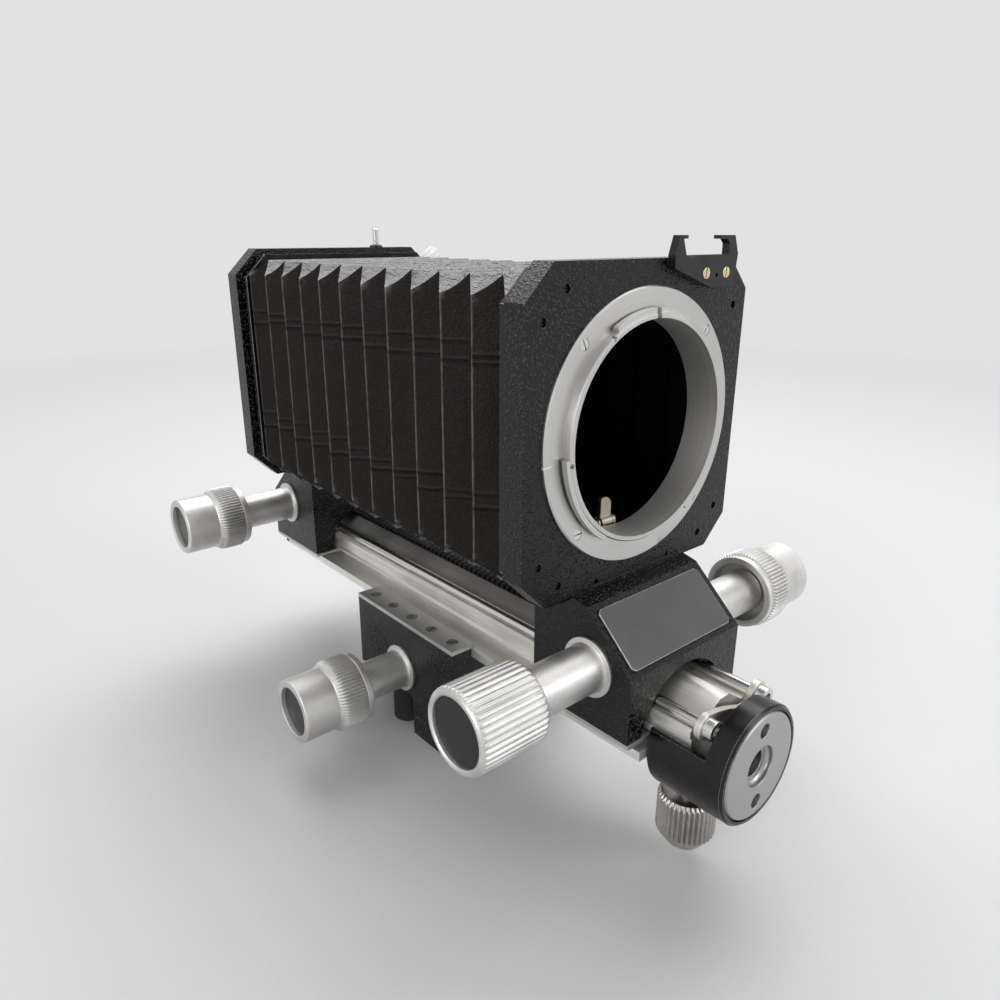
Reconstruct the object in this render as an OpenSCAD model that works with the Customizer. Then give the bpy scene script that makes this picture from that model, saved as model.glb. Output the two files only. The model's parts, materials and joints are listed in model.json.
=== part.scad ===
// Macro bellows unit: two standards on a round-topped monorail, a tripod
// carriage below it, and a folded light-tight bellows between the standards.
// Frame: +Z up, the lens side faces -Y, X = 0 is the mirror plane, and the
// origin is the mouth of the tripod socket under the foot. Millimetres.

/* [Standards] */
// Half of the width of each standard's plate
plate_w = 36; // [30:0.5:45]
// Height of the lens axis over the floor
axis_z = 103.4; // [90:0.1:120]
// Distance from the lens axis to the top edge of a plate
plate_up = 36.4; // [30:0.1:45]
// Distance from the lens axis to the bottom edge of a plate
plate_down = 35.7; // [30:0.1:45]
// Corner cut of a plate, along each edge
plate_cut = 7.4; // [3:0.1:12]
// Thickness of a plate
plate_t = 5.8; // [4:0.1:10]
// Front face of the front plate, at full extension
front_y = -51.5; // [-70:0.5:-40]
// Distance between the front faces of the two plates, at full extension
spread = 130; // [90:1:150]

/* [Standard bases] */
// Wall of a base block on each side of its tunnel
base_wall = 4.8; // [4.2:0.1:8]
// How far a base block stands out past the face of its plate
base_out = 17.6; // [10:0.1:25]
// How far a base block reaches behind its plate
base_in = 6.7; // [3:0.1:12]
// Height over the floor of the lower edge of the nameplate slope
slope_low_z = 54.3; // [48:0.1:60]
// Height over the floor of the underside of the base plates
base_z = 37.2; // [36:0.1:40]
// Thickness of the base plates
base_plate_t = 1; // [0.6:0.1:2]
// Radius of the tunnel through a base block
tunnel_r = 15.2; // [14:0.1:16.5]
// Height of the tunnel's centre over the floor
tunnel_z = 36.4; // [34:0.1:38]

/* [Lens mount] */
// Radius of the clear throat of the lens mount
throat_r = 24.4; // [20:0.1:28]
// Wall of the mount's barrel, outside the throat
barrel_t = 2.6; // [2:0.1:4]
// Width of the mount flange, outside the barrel
flange_w = 4; // [3.4:0.1:6]
// Width of the raised lip, outside the throat
lip_w = 1.6; // [1.2:0.1:2.4]
// How far the lip stands out from the plate
lip_h = 3; // [1:0.1:5]
// How far the flange stands out from the plate
flange_h = 0.8; // [0.4:0.1:2]

/* [Camera mount] */
// Radius of the clear throat of the camera mount
cam_r = 23; // [20:0.1:26]
// Wall of the breech ring, outside that throat
breech_t = 2; // [1.5:0.1:3]
// Wall of the turning carrier, outside the breech ring
carrier_t = 3; // [2.4:0.1:4]

/* [Rail] */
// Half of the width of the rail's lower flange
low_w = 16.3; // [12:0.1:18]
// Half of the width of the rail's upper flange
up_w = 12; // [9:0.1:14]
// Half of the width of the neck between the flanges
neck_w = 8.4; // [6:0.1:10]
// Front end of the rail's lower flange
rail_front = -69.8; // [-80:0.1:-60]
// Front end of the rail's upper part
tower_front = -79.5; // [-90:0.1:-70]
// Rear end of the rail
rail_back = 101.5; // [90:0.5:120]
// Radius of the guide rods
rod_r = 1.5; // [1:0.1:2]
// Distance of each guide rod from the middle
rod_x = 9.8; // [8:0.1:11]
// Height of the guide rods over the floor
rod_z = 45.5; // [44:0.1:47]

/* [Rack and pinions] */
// Module of the racks and pinions
gear_m = 0.7; // [0.5:0.05:1]
// Teeth of each pinion
teeth = 12; // [10:1:18]
// Height of the standards' pinion shafts over the floor
drive_z = 52.75; // [50:0.05:56]
// Height of the carriage's pinion shaft over the floor
low_drive_z = 20.4; // [18:0.1:24]
// Distance of a standard's pinion shaft in front of its plate
drive_out = 5.4; // [2:0.1:10]
// Radius of the pinion shafts
shaft_r = 2.4; // [2:0.1:3]
// Radial running clearance of each shaft
run = 0.05; // [0.01:0.01:0.1]

/* [Knobs] */
// Outer radius of the shaft bushings' necks
neck_r = 5.65; // [4:0.05:7]
// Radius of the flange at a bushing's foot
collar_r = 7.1; // [6:0.1:9]
// Radius over the flutes of a drive knob
drive_r = 9.35; // [8:0.05:12]
// Distance of a drive knob's inner end from the middle
drive_in = 40.2; // [36:0.1:46]
// Distance of a lock knob's inner end from the middle
lock_in = 38.6; // [34:0.1:44]
// Distance of a knob's outer end from the middle
knob_end = 59; // [50:0.5:66]
// Radius of the knurled band of a lock knob
lock_r = 10.4; // [9:0.1:12]
// Radius of the plain outer drum of a lock knob
lock_drum_r = 9; // [7:0.1:10]

/* [Carriage and foot] */
// Half of the width of the carriage
car_w = 23.2; // [20:0.1:28]
// Front face of the carriage
car_front = -10; // [-20:0.5:0]
// Rear face of the carriage
car_back = 38.8; // [30:0.1:50]
// Position of the carriage's pinion shaft along the rail
car_drive_y = 15.5; // [10:0.1:20]
// Height of the carriage's underside over the floor
car_z = 12.6; // [10:0.1:16]
// Height of the top of the carriage's cover strips over the floor
car_top = 36.6; // [36:0.1:37]
// Inner edge of the cover strips
strip_in = 15.4; // [12:0.1:16]
// Half of the length of the tripod foot
foot_l = 10; // [8:0.5:16]
// Radius of the tripod socket (3/8 inch camera thread)
socket_r = 4.7625; // [3.175:0.0001:4.7625]
// Depth of the tripod socket
socket_h = 9; // [6:0.5:12]

/* [Rail end clamp] */
// Outer radius of the clamp at the front end of the rail
clamp_r = 14.3; // [12:0.1:16]
// Height of the clamp's centre over the floor
clamp_z = 35.2; // [33:0.1:37]
// Front face of the clamp
clamp_front = -89.8; // [-100:0.1:-85]
// Rear face of the full ring part of the clamp
ring_back = -84.6; // [-88:0.1:-82]
// Radius of the threaded hole in the front disc (1/4 inch camera thread)
end_socket_r = 3.175; // [3.175:0.0001:4.7625]
// Height of the cradle's edges over the clamp's centre
cradle_up = 5; // [3:0.1:6]
// Position of the clamp knob along the rail
clamp_knob_y = -72.6; // [-78:0.1:-72]

/* [Bellows] */
// Number of folds
pleats = 11; // [7:2:17]
// Half width at an outer side fold
fold_w = 33.5; // [30:0.1:36]
// Depth of a fold
fold_d = 4.2; // [3:0.1:7]
// Half height at an outer side fold
fold_h = 29.3; // [26:0.1:32]
// Thickness of the bellows cloth
cloth_t = 0.7; // [0.5:0.1:1.2]

/* [Hidden] */
$fn = 48;
mir = (front_y + front_y + spread + plate_t)/2;
back_y = front_y + plate_t;
rear_y = front_y + spread;
rear_back = rear_y + plate_t;
base_front = front_y - base_out;
base_back = back_y + base_in;
base_top = axis_z - plate_down - 0.9;
front_drive_y = front_y - drive_out;
frame_t = 2.5;
frame_open = throat_r + barrel_t + 0.3;
bel_front = back_y + frame_t;
bel_back = 74.4;
bel_half = (bel_front + bel_back)/2;
seg = (bel_back - bel_front)/(2*pleats);
pitch_r = gear_m*teeth/2;
gear_p = PI*gear_m;
rack_z = drive_z - pitch_r;
low_rack_z = low_drive_z + pitch_r;
up_top = 44.6;
up_low = 38.5;
low_top = 35.2;
low_low = 32.7;
keel_low = 30;
keel_w = 10;
upper_rack_w = 1.65;
crest_w = 1.9;
tower_w = 7;
tower_low = 44.1;
lower_rack_w = 3;
tower_top = 47.7;
strip_t = 1.2;
rack_y = -64;
rack_teeth_n = floor((rail_back - 4 - rack_y)/gear_p);
ring_seat_r = throat_r + barrel_t;
flange_r = ring_seat_r + flange_w;
flange_screw_r = ring_seat_r + 1.7;
lip_r = throat_r + lip_w;
breech_r = cam_r + breech_t;
carrier_r = breech_r + carrier_t;
cam_screw_r = breech_r + carrier_t/2;
base_w = tunnel_r + base_wall;
base_screw_x = tunnel_r + base_wall/2;
strip_screw_x = (strip_in + car_w)/2 + 0.2;
drive_neck_end = drive_in - 0.2;
lock_neck_end = lock_in + 2.8;
rod_front = tower_front - 2.7;
shaft_end = knob_end - 6.5;
shaft_gap = 9.1;
bracket_t = 2;
bracket_x = [16.6, 24.1];
lever_y = back_y + 1.8;
lever_z = axis_z - throat_r + 0.6;
lever_x = [-4.4, -0.8];

crackle = [0.07, 0.07, 0.075];
satin = [0.72, 0.71, 0.69];
steel = [0.80, 0.79, 0.77];
bright = [0.86, 0.85, 0.83];
black = [0.05, 0.05, 0.055];
brass = [0.80, 0.66, 0.38];
cloth = [0.09, 0.08, 0.08];

// ---- helpers -------------------------------------------------------

// A rod along +X from x0 to x1
module xrod(r, x0, x1) {
  translate([x0, 0, 0])
    rotate([0, 90, 0])
      cylinder(r = r, h = x1 - x0);
}

// A rod along +Y from y0 to y1
module yrod(r, y0, y1) {
  translate([0, y0, 0])
    rotate([-90, 0, 0])
      cylinder(r = r, h = y1 - y0);
}

// A box given by two opposite corners
module box(a, b) {
  translate(a)
    cube(b - a);
}

// A profile in X and Z, swept along Y
module along_y(y0, y1) {
  translate([0, y1, 0])
    rotate([90, 0, 0])
      linear_extrude(height = y1 - y0)
        children();
}

// A profile in Y and Z, swept along X
module along_x(x0, x1) {
  translate([x0, 0, 0])
    rotate([90, 0, 90])
      linear_extrude(height = x1 - x0)
        children();
}

// The octagonal outline of a standard, smaller all round by d
module octagon(d) {
  w = plate_w - d;
  u = axis_z + plate_up - d;
  l = axis_z - plate_down + d;
  c = plate_cut - 0.586*d;
  polygon([[w, l + c], [w, u - c], [w - c, u], [-w + c, u],
           [-w, u - c], [-w, l + c], [-w + c, l], [w - c, l]]);
}

// A slotted screw: head on top of z = 0, shank of length h below it
module slotted(head_r, head_h, r, h) {
  difference() {
    cylinder(r = head_r, h = head_h, $fn = 32);
    translate([-head_r - 1, -head_r*0.13, head_h*0.45])
      cube([2*head_r + 2, head_r*0.26, head_h]);
  }
  translate([0, 0, -h])
    cylinder(r = r, h = h, $fn = 24);
}

// Rack teeth that point up from z = 0, which is the pitch line
module rack_teeth(n) {
  p = gear_p;
  polygon(concat(
    [[0, -2.2*gear_m], [0, -1.2*gear_m]],
    [for (i = [0 : n - 1]) each [
      [i*p + 0.17*p, -1.2*gear_m], [i*p + 0.38*p, 0.72*gear_m],
      [i*p + 0.62*p, 0.72*gear_m], [i*p + 0.83*p, -1.2*gear_m]]],
    [[n*p, -1.2*gear_m], [n*p, -2.2*gear_m]]));
}

// Outline of a pinion with a gap between teeth at the angle "turn"
module pinion_outline(turn) {
  a = 360/teeth;
  polygon([for (i = [0 : teeth - 1]) each [
    for (q = [[0.13, -1.15], [0.28, -0.5], [0.33, 0], [0.40, 0.45],
              [0.45, 0.72], [0.55, 0.72], [0.60, 0.45], [0.67, 0],
              [0.72, -0.5], [0.87, -1.15]])
      let (r = pitch_r + q[1]*gear_m, t = turn + (i + q[0])*a)
        [r*cos(t), r*sin(t)]]]);
}

// Turn of a pinion at y, in degrees, that meshes it with a rack
function mesh(y) =
  (((y - rack_y)/gear_p - 0.5) % 1)*360/teeth;

// Pinion on its shaft, from x0 to x1, with the teeth at the middle
module pinion_shaft(x0, x1, turn) {
  xrod(shaft_r, x0, x1);
  along_x(-3, 3)
    pinion_outline(turn);
}

// A turned bushing: a neck with a flared foot, seated on the face x = face
module bushing(face, bore, neck_end) {
  translate([face, 0, 0])
    rotate([0, 90, 0])
      rotate_extrude($fn = 64)
        polygon([[bore, -7], [4.4, -7], [4.4, 0], [collar_r, 0],
                 [collar_r, 0.8], [neck_r + 0.35, 0.9],
                 [neck_r, 1.5],
                 [neck_r, neck_end - face], [bore, neck_end - face]]);
}

// A fluted drive knob with a dished end, pointing to +X
module drive_knob(face, bore) {
  n = 40;
  difference() {
    intersection() {
      along_x(face, knob_end - 0.8)
        polygon([for (i = [0 : 4*n - 1])
          let (r = drive_r - (i % 4 == 0 ? 0.45 : (i % 4 == 2 ? 0 : 0.12)),
               t = i*360/(4*n))
            [r*cos(t), r*sin(t)]]);
      translate([face, 0, 0])
        rotate([0, 90, 0])
          rotate_extrude($fn = 64)
            polygon([[0, 0], [drive_r - 1, 0], [drive_r + 0.2, 1.2],
                     [drive_r + 0.2, knob_end - 2 - face],
                     [drive_r - 0.9, knob_end - 0.8 - face],
                     [0, knob_end - 0.8 - face]]);
    }
    translate([knob_end - 1.5, 0, 0])
      rotate([0, 90, 0])
        rotate_extrude($fn = 64)
          polygon([[0, 0], [drive_r - 1.95, 0], [drive_r - 1.75, 0.2],
                   [drive_r - 1.75, 3], [0, 3]]);
    xrod(bore, face - 1, knob_end - 6);
  }
}

// A lock knob: knurled band, plain drum, bored end, pointing to +X
module lock_knob(bore) {
  n = 60;
  face = lock_in;
  difference() {
    union() {
      translate([face, 0, 0])
        rotate([0, 90, 0])
          rotate_extrude($fn = 64)
            polygon([[0, 0], [9.1, 0], [9.75, 0.5], [9.75, 1.7],
                     [9.4, 2.0], [9.4, 8.2], [10.1, 8.8],
                     [lock_drum_r + 0.2, 10.2], [lock_drum_r, 11],
                     [lock_drum_r, knob_end - 0.5 - face],
                     [lock_drum_r - 0.5, knob_end - face],
                     [0, knob_end - face]]);
      along_x(face + 2.2, face + 8.4)
        polygon([for (i = [0 : 2*n - 1])
          let (r = lock_r - (i % 2 == 0 ? 0.32 : 0), t = i*180/n)
            [r*cos(t), r*sin(t)]]);
    }
    xrod(8, face - 1, face + 3.4);
    xrod(bore, face - 1, face + 14);
    translate([knob_end - 5.5, 0, 0])
      rotate([0, 90, 0])
        rotate_extrude($fn = 64)
          polygon([[0, 0], [6.3, 0], [6.3, 2.6], [6.9, 3.2],
                   [6.9, 6], [0, 6]]);
  }
}

// ---- carriage ------------------------------------------------------

module carriage_body() color(crackle) {
  z1 = car_top - strip_t;
  difference() {
    box([-car_w, car_front, car_z], [car_w, car_back, z1]);
    box([-low_w - 0.1, car_front - 1, low_low - 0.1],
        [low_w + 0.1, car_back + 1, z1 + 1]);
    box([-keel_w - 0.1, car_front - 1, keel_low - 0.1],
        [keel_w + 0.1, car_back + 1, z1]);
    box([-lower_rack_w - 0.4, car_front - 1, low_rack_z - 1.2],
        [lower_rack_w + 0.4, car_back + 1, z1]);
    translate([0, car_drive_y, low_drive_z]) {
      xrod(shaft_r + run, -car_w - 1, car_w + 1);
      xrod(pitch_r + 1, -3.4, 3.4);
      xrod(4.4, car_w - 7, car_w + 1);
      xrod(4.4, -car_w - 1, -car_w + 7);
    }
    for (s = [-1, 1], i = [0 : 4])
      translate([s*strip_screw_x, strip_hole_y(i), z1 - 5])
        cylinder(r = 0.95, h = 6, $fn = 24);
    for (s = [-1, 1])
      translate([s*rear_foot_x, rear_foot_y, car_z - 1])
        cylinder(r = 1.5, h = 4.2, $fn = 24);
  }
}

function strip_hole_y(i) = (car_front + car_back)/2 + 9.9*(i - 2);
rear_foot_r = 4.6;
rear_foot_x = car_w - rear_foot_r;
rear_foot_y = 19.5;

module carriage_cover_strips() color(bright)
  for (s = [-1, 1])
    difference() {
      box([min(s*strip_in, s*car_w), car_front, car_top - strip_t],
          [max(s*strip_in, s*car_w), car_back, car_top]);
      for (i = [0 : 4])
        translate([s*strip_screw_x, strip_hole_y(i), car_top - 5])
          cylinder(r = 1.75, h = 6, $fn = 32);
    }

module cover_strip_screws() color(steel)
  for (s = [-1, 1], i = [0 : 4])
    translate([s*strip_screw_x, strip_hole_y(i), car_top - strip_t])
      rotate([0, 0, 40*i + 25*s])
        slotted(1.75, 1.15, 0.95, 4.8);

module tripod_foot() color(crackle) {
  difference() {
    union() {
      box([-car_w, -foot_l, 6.6], [car_w, foot_l, car_z]);
      box([-car_w + 0.3, -foot_l + 0.3, 6.2],
          [car_w - 0.3, foot_l - 0.3, 6.7]);
      box([-car_w, -foot_l, 0], [car_w, foot_l, 6.3]);
    }
    translate([0, 0, -1])
      cylinder(r = socket_r, h = socket_h + 1, $fn = 64);
  }
}

module rear_feet() color(black)
  for (s = [-1, 1])
    translate([s*rear_foot_x, rear_foot_y, 0]) {
      cylinder(r = rear_foot_r, h = car_z);
      cylinder(r = 1.5, h = car_z + 3, $fn = 24);
    }

module carriage_bushings() color(satin)
  translate([0, car_drive_y, low_drive_z]) {
    bushing(car_w, shaft_r + run, drive_neck_end);
    mirror([1, 0, 0])
      bushing(car_w, shaft_r + run, lock_neck_end);
  }

// ---- carriage drive and lock ---------------------------------------

module carriage_drive_shaft() color(steel)
  translate([0, car_drive_y, low_drive_z])
    pinion_shaft(-shaft_gap, shaft_end, 90 + mesh(car_drive_y));

module carriage_drive_knob() color(satin)
  translate([0, car_drive_y, low_drive_z])
    drive_knob(drive_in, shaft_r);

module carriage_lock_screw() color(steel)
  translate([0, car_drive_y, low_drive_z])
    xrod(shaft_r, -shaft_end, -shaft_gap - 0.1);

module carriage_lock_knob() color(satin)
  translate([0, car_drive_y, low_drive_z])
    mirror([1, 0, 0])
      lock_knob(shaft_r);

// ---- rail ----------------------------------------------------------

module rail_upper_outline() {
  polygon([[crest_w, tower_top], [tower_w, tower_low],
           [tower_w, up_top - 0.3],
           [up_w - 0.6, up_top - 0.3], [up_w, up_top - 0.9],
           [up_w, 42.2], [up_w - 0.7, 41.6], [up_w - 0.7, 39.6],
           [up_w, 39], [up_w, up_low], [neck_w, up_low],
           [-neck_w, up_low], [-up_w, up_low], [-up_w, 39],
           [-up_w + 0.7, 39.6], [-up_w + 0.7, 41.6], [-up_w, 42.2],
           [-up_w, up_top - 0.9], [-up_w + 0.6, up_top - 0.3],
           [-tower_w, up_top - 0.3], [-tower_w, tower_low],
           [-crest_w, tower_top]]);
}

module rail() color(satin) {
  difference() {
    union() {
      along_y(tower_front, rail_back)
        rail_upper_outline();
      along_y(rail_front, rail_back)
        polygon([[neck_w, up_low + 0.1], [neck_w, low_top],
                 [low_w, low_top], [low_w, low_low], [keel_w, low_low],
                 [keel_w, keel_low], [-keel_w, keel_low],
                 [-keel_w, low_low], [-low_w, low_low],
                 [-low_w, low_top], [-neck_w, low_top],
                 [-neck_w, up_low + 0.1]]);
      intersection() {
        translate([0, 0, clamp_z])
          yrod(10.95, tower_front, rail_front + 1);
        union() {
          box([-11, tower_front, 20], [11, rail_front, up_low + 0.1]);
          box([-neck_w, tower_front, low_top - 0.5],
              [neck_w, rail_front + 1, up_low + 0.1]);
        }
      }
    }
    for (s = [-1, 1])
      translate([s*rod_x, 0, rod_z])
        yrod(rod_r, tower_front - 1, rail_back + 1);
    rack_bar(upper_rack_w, rack_z - 3.4, tower_top + 1);
    rack_bar(lower_rack_w, keel_low - 1, keel_low + 1);
    for (s = [-1, 1])
      translate([s*6, 0, 41])
        yrod(0.9, rail_back - 4, rail_back + 1);
  }
}

// The flat bar under the teeth of a rack, in its slot in the rail
module rack_bar(w, z0, z1)
  box([-w, rack_y, z0], [w, rail_back - 3.5, z1]);

module upper_rack() color(steel)
  union() {
    translate([0, rack_y, rack_z])
      along_x(-upper_rack_w, upper_rack_w)
        rack_teeth(rack_teeth_n);
    rack_bar(upper_rack_w, rack_z - 3.4, rack_z - 1.3*gear_m);
  }

module lower_rack() color(steel)
  union() {
    translate([0, rack_y, low_rack_z])
      mirror([0, 0, 1])
        along_x(-lower_rack_w, lower_rack_w)
          rack_teeth(rack_teeth_n);
    rack_bar(lower_rack_w, low_rack_z + 1.3*gear_m, keel_low + 1);
  }

module guide_rods() color(bright)
  for (s = [-1, 1])
    translate([s*rod_x, 0, rod_z])
      yrod(rod_r, rod_front, rail_back - 2);

module guide_rod_screws() color(bright)
  for (s = [-1, 1])
    translate([s*rod_x, 0, rod_z])
      difference() {
        yrod(2.35, rod_front - 2.2, rod_front);
        yrod(1.1, rod_front - 3, rod_front - 1);
      }

module rod_strap() color(bright)
  difference() {
    union() {
      for (s = [-1, 1])
        translate([s*rod_x, 0, rod_z])
          yrod(3.1, rod_front, rod_front + 1.6);
      along_y(rod_front, rod_front + 1.6)
        polygon([[-rod_x, rod_z + 3.05], [-6.6, rod_z + 2.6],
                 [-2, rod_z + 1.3], [4, rod_z - 0.9],
                 [rod_x, rod_z - 0.9], [rod_x, rod_z - 3.05],
                 [6.6, rod_z - 2.6], [2, rod_z - 1.3],
                 [-4, rod_z + 0.9], [-rod_x, rod_z + 0.9]]);
    }
    for (s = [-1, 1])
      translate([s*rod_x, 0, rod_z])
        yrod(rod_r, rod_front - 1, rod_front + 3);
  }

module end_clamp() color(black)
  difference() {
    translate([0, 0, clamp_z])
      rotate([90, 0, 0])
        translate([0, 0, -rail_front])
          rotate_extrude($fn = 96)
            polygon([[0, 0], [clamp_r - 0.5, 0], [clamp_r, 0.5],
                     [clamp_r, rail_front - clamp_front - 0.6],
                     [clamp_r - 0.6, rail_front - clamp_front],
                     [0, rail_front - clamp_front]]);
    translate([0, 0, clamp_z]) {
      yrod(11, ring_back, rail_front + 1);
      yrod(13.1, clamp_front - 1, clamp_front + 3);
      yrod(end_socket_r, clamp_front, ring_back + 1);
    }
    box([-clamp_r - 1, ring_back, clamp_z + cradle_up],
        [clamp_r + 1, rail_front + 1, clamp_z + clamp_r + 1]);
    box([-up_w - 0.1, ring_back, up_low - 0.1],
        [up_w + 0.1, rail_front + 1, clamp_z + clamp_r]);
    translate([0, clamp_knob_y, 18])
      cylinder(r = 2, h = 10, $fn = 32);
  }

module end_disc() color([0.62, 0.64, 0.66])
  translate([0, 0, clamp_z])
    difference() {
      rotate([90, 0, 0])
        translate([0, 0, -clamp_front - 3])
          rotate_extrude($fn = 96)
            polygon([[end_socket_r, 0], [13.05, 0], [13.05, 2.4],
                     [12.4, 3.2], [4.9, 3.2], [4.9, 2.2], [4.3, 1.6],
                     [end_socket_r, 1.6]]);
      for (s = [-1, 1])
        translate([0, 0, 9.1*s])
          yrod(1.7, clamp_front - 1, clamp_front + 2);
    }

module rail_end_stop() color(black)
  difference() {
    along_y(rail_back, rail_back + 2)
      polygon([[crest_w, tower_top], [tower_w, tower_low],
               [up_w, tower_low],
               [up_w, up_low], [neck_w, up_low], [neck_w, low_top],
               [low_w, low_top], [low_w, low_low], [keel_w, low_low],
               [keel_w, keel_low], [-keel_w, keel_low],
               [-keel_w, low_low], [-low_w, low_low],
               [-low_w, low_top], [-neck_w, low_top],
               [-neck_w, up_low], [-up_w, up_low], [-up_w, tower_low],
               [-tower_w, tower_low], [-crest_w, tower_top]]);
    for (s = [-1, 1])
      translate([s*6, 0, 41])
        yrod(1.6, rail_back - 1, rail_back + 3);
  }

module end_stop_screws() color(steel)
  for (s = [-1, 1])
    translate([s*6, rail_back + 1.2, 41])
      rotate([-90, 30*s, 0])
        slotted(1.6, 1, 0.9, 5);

// ---- clamp knob ----------------------------------------------------

module clamp_knob() color(satin) {
  n = 30;
  translate([0, clamp_knob_y, 0])
    difference() {
      intersection() {
        translate([0, 0, 4.2])
          linear_extrude(height = 14)
            polygon([for (i = [0 : 4*n - 1])
              let (r = 7.1 - (i % 4 == 0 ? 0.5 : (i % 4 == 2 ? 0 : 0.14)),
                   t = i*90/n)
                [r*cos(t), r*sin(t)]]);
        rotate_extrude($fn = 64)
          polygon([[0, 4.2], [4.4, 4.2], [5, 4.8], [5.8, 6.6],
                   [7.2, 7.4], [7.2, 17.2], [6.2, 18.2], [0, 18.2]]);
      }
      translate([0, 0, 7])
        cylinder(r = 1.9, h = 12, $fn = 32);
    }
}

module clamp_screw() color(steel)
  translate([0, clamp_knob_y, 7])
    cylinder(r = 1.9, h = 17.1, $fn = 32);

// ---- a standard ----------------------------------------------------

// Plate and base in one casting, seen from the front standard
module standard_casting(hole_r, recess_r, recess_h, holes) {
  difference() {
    union() {
      along_y(front_y, back_y)
        octagon(0);
      along_x(-base_w, base_w)
        polygon([[front_y - 4, axis_z - plate_down - 0.9],
                 [base_front, slope_low_z],
                 [base_front, base_z + base_plate_t],
                 [base_back, base_z + base_plate_t],
                 [base_back, base_top], [back_y, base_top],
                 [back_y, axis_z - plate_down + 2],
                 [front_y, axis_z - plate_down + 2],
                 [front_y, axis_z - plate_down]]);
    }
    translate([0, 0, axis_z]) {
      yrod(hole_r, front_y - 1, back_y + 1);
      yrod(recess_r, front_y - 1, front_y + recess_h);
    }
    translate([0, 0, tunnel_z])
      yrod(tunnel_r, base_front - 1, base_back + 1);
    box([-tunnel_r, base_front - 1, base_z], [tunnel_r, base_back + 1, tunnel_z]);
    translate([0, front_drive_y, drive_z]) {
      xrod(shaft_r + run, -base_w - 1, base_w + 1);
      xrod(pitch_r + 1, -3.4, 3.4);
      xrod(4.4, base_w - 7, base_w + 1);
      xrod(4.4, -base_w - 1, -base_w + 7);
    }
    for (s = [-1, 1], y = [base_front + 4, base_back - 4])
      translate([s*base_screw_x, y, base_z])
        cylinder(r = 0.8, h = 6, $fn = 24);
    for (p = holes)
      translate([p[0], 0, axis_z + p[1]])
        yrod(0.9, front_y - 1, back_y + 1);
  }
}

function frame_holes() = concat(
  [for (s = [-1, 1], t = [-1, 1]) [25.1*s, 31.3*t]],
  [for (s = [-1, 1], t = [-1, 1]) [31.2*s, 25.3*t]]);

// The accessory bracket's screw takes the place of one of them in front
function front_holes() =
  [for (p = frame_holes()) if (p[0] < 0 || p[1] < 0 || p[0] > 28) p];

// The camera mount's clamp screw takes the place of one at the rear; s is -1
// in the casting's own frame, before it is turned round
function rear_holes(s) =
  [for (p = frame_holes()) if (s*p[0] < 28 || p[1] < 0) p];

module base_plate() {
  difference() {
    box([-base_w, base_front - 0.3, base_z],
        [base_w, base_back + 0.3, base_z + base_plate_t]);
    box([-neck_w - 0.1, base_front - 2, base_z - 1],
        [neck_w + 0.1, base_back + 2, base_z + 2]);
    for (s = [-1, 1], y = [base_front + 4, base_back - 4])
      translate([s*base_screw_x, y, base_z - 1])
        cylinder(r = 1.5, h = 6, $fn = 32);
  }
}

module base_screws()
  for (s = [-1, 1], y = [base_front + 4, base_back - 4])
    translate([s*base_screw_x, y, base_z + base_plate_t])
      mirror([0, 0, 1])
        slotted(1.5, 0.9, 0.8, 4.5);

// Bearing shoes between the tunnel's wall and the guide rods
module guide_shoes()
  for (s = [0, 1])
    mirror([s, 0, 0])
      difference() {
        along_y(base_front + 3, base_back - 1)
          polygon(concat(
            [[rod_x + 0.1, up_top + 0.3]],
            [for (k = [0 : 4])
              let (a0 = asin((up_top + 0.3 - tunnel_z)/tunnel_r),
                   a1 = acos((rod_x + 0.1)/tunnel_r),
                   t = a0 + (a1 - a0)*k/4)
                [tunnel_r*cos(t), tunnel_z + tunnel_r*sin(t)]]));
        translate([rod_x, 0, rod_z])
          yrod(rod_r + run, base_front, base_back);
      }

module bushings_pair()
  translate([0, front_drive_y, drive_z]) {
    bushing(base_w, shaft_r + run, lock_neck_end);
    mirror([1, 0, 0])
      bushing(base_w, shaft_r + run, drive_neck_end);
  }

module drive_shaft_left(turn)
  translate([0, front_drive_y, drive_z])
    mirror([1, 0, 0])
      pinion_shaft(-shaft_gap, shaft_end, turn);

module drive_knob_left()
  translate([0, front_drive_y, drive_z])
    mirror([1, 0, 0])
      drive_knob(drive_in, shaft_r);

module lock_screw_right()
  translate([0, front_drive_y, drive_z])
    xrod(shaft_r, shaft_gap + 0.1, shaft_end);

module lock_knob_right()
  translate([0, front_drive_y, drive_z])
    lock_knob(shaft_r);

// Turns the front standard's parts round to stand at the rear
module turned()
  translate([0, 2*mir, 0])
    rotate([0, 0, 180])
      children();

// ---- front standard ------------------------------------------------

module front_standard() color(crackle)
  difference() {
    standard_casting(ring_seat_r, flange_r + 0.05, 1, front_holes());
    plate_pocket();
    for (x = bracket_x)
      translate([x, 0, axis_z + 33])
        yrod(0.8, front_y - 1, front_y + 4);
    for (s = [-1, 1])
      translate([12.8*s, 0, axis_z - 33.9])
        yrod(0.6, front_y - 1, front_y + 2);
    for (i = [0 : 3])
      rotate_about_axis(45 + 90*i)
        translate([flange_screw_r, 0, 0])
          yrod(0.7, front_y, front_y + 4);
  }

module rotate_about_axis(a)
  translate([0, 0, axis_z])
    rotate([0, -a, 0])
      children();

plate_half = base_w - 1.9;
slope_a = atan2(axis_z - plate_down - 0.9 - slope_low_z,
                base_out - 4);

// Places children on the nameplate slope: x across, y up the slope
module on_slope()
  translate([0, front_y - 4 - (base_out - 4)/2,
             (axis_z - plate_down - 0.9 + slope_low_z)/2])
    rotate([slope_a, 0, 0])
      children();

module plate_pocket()
  on_slope()
    box([-plate_half - 0.1, -7.8, -0.5], [plate_half + 0.1, 7.8, 3.5]);

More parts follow.
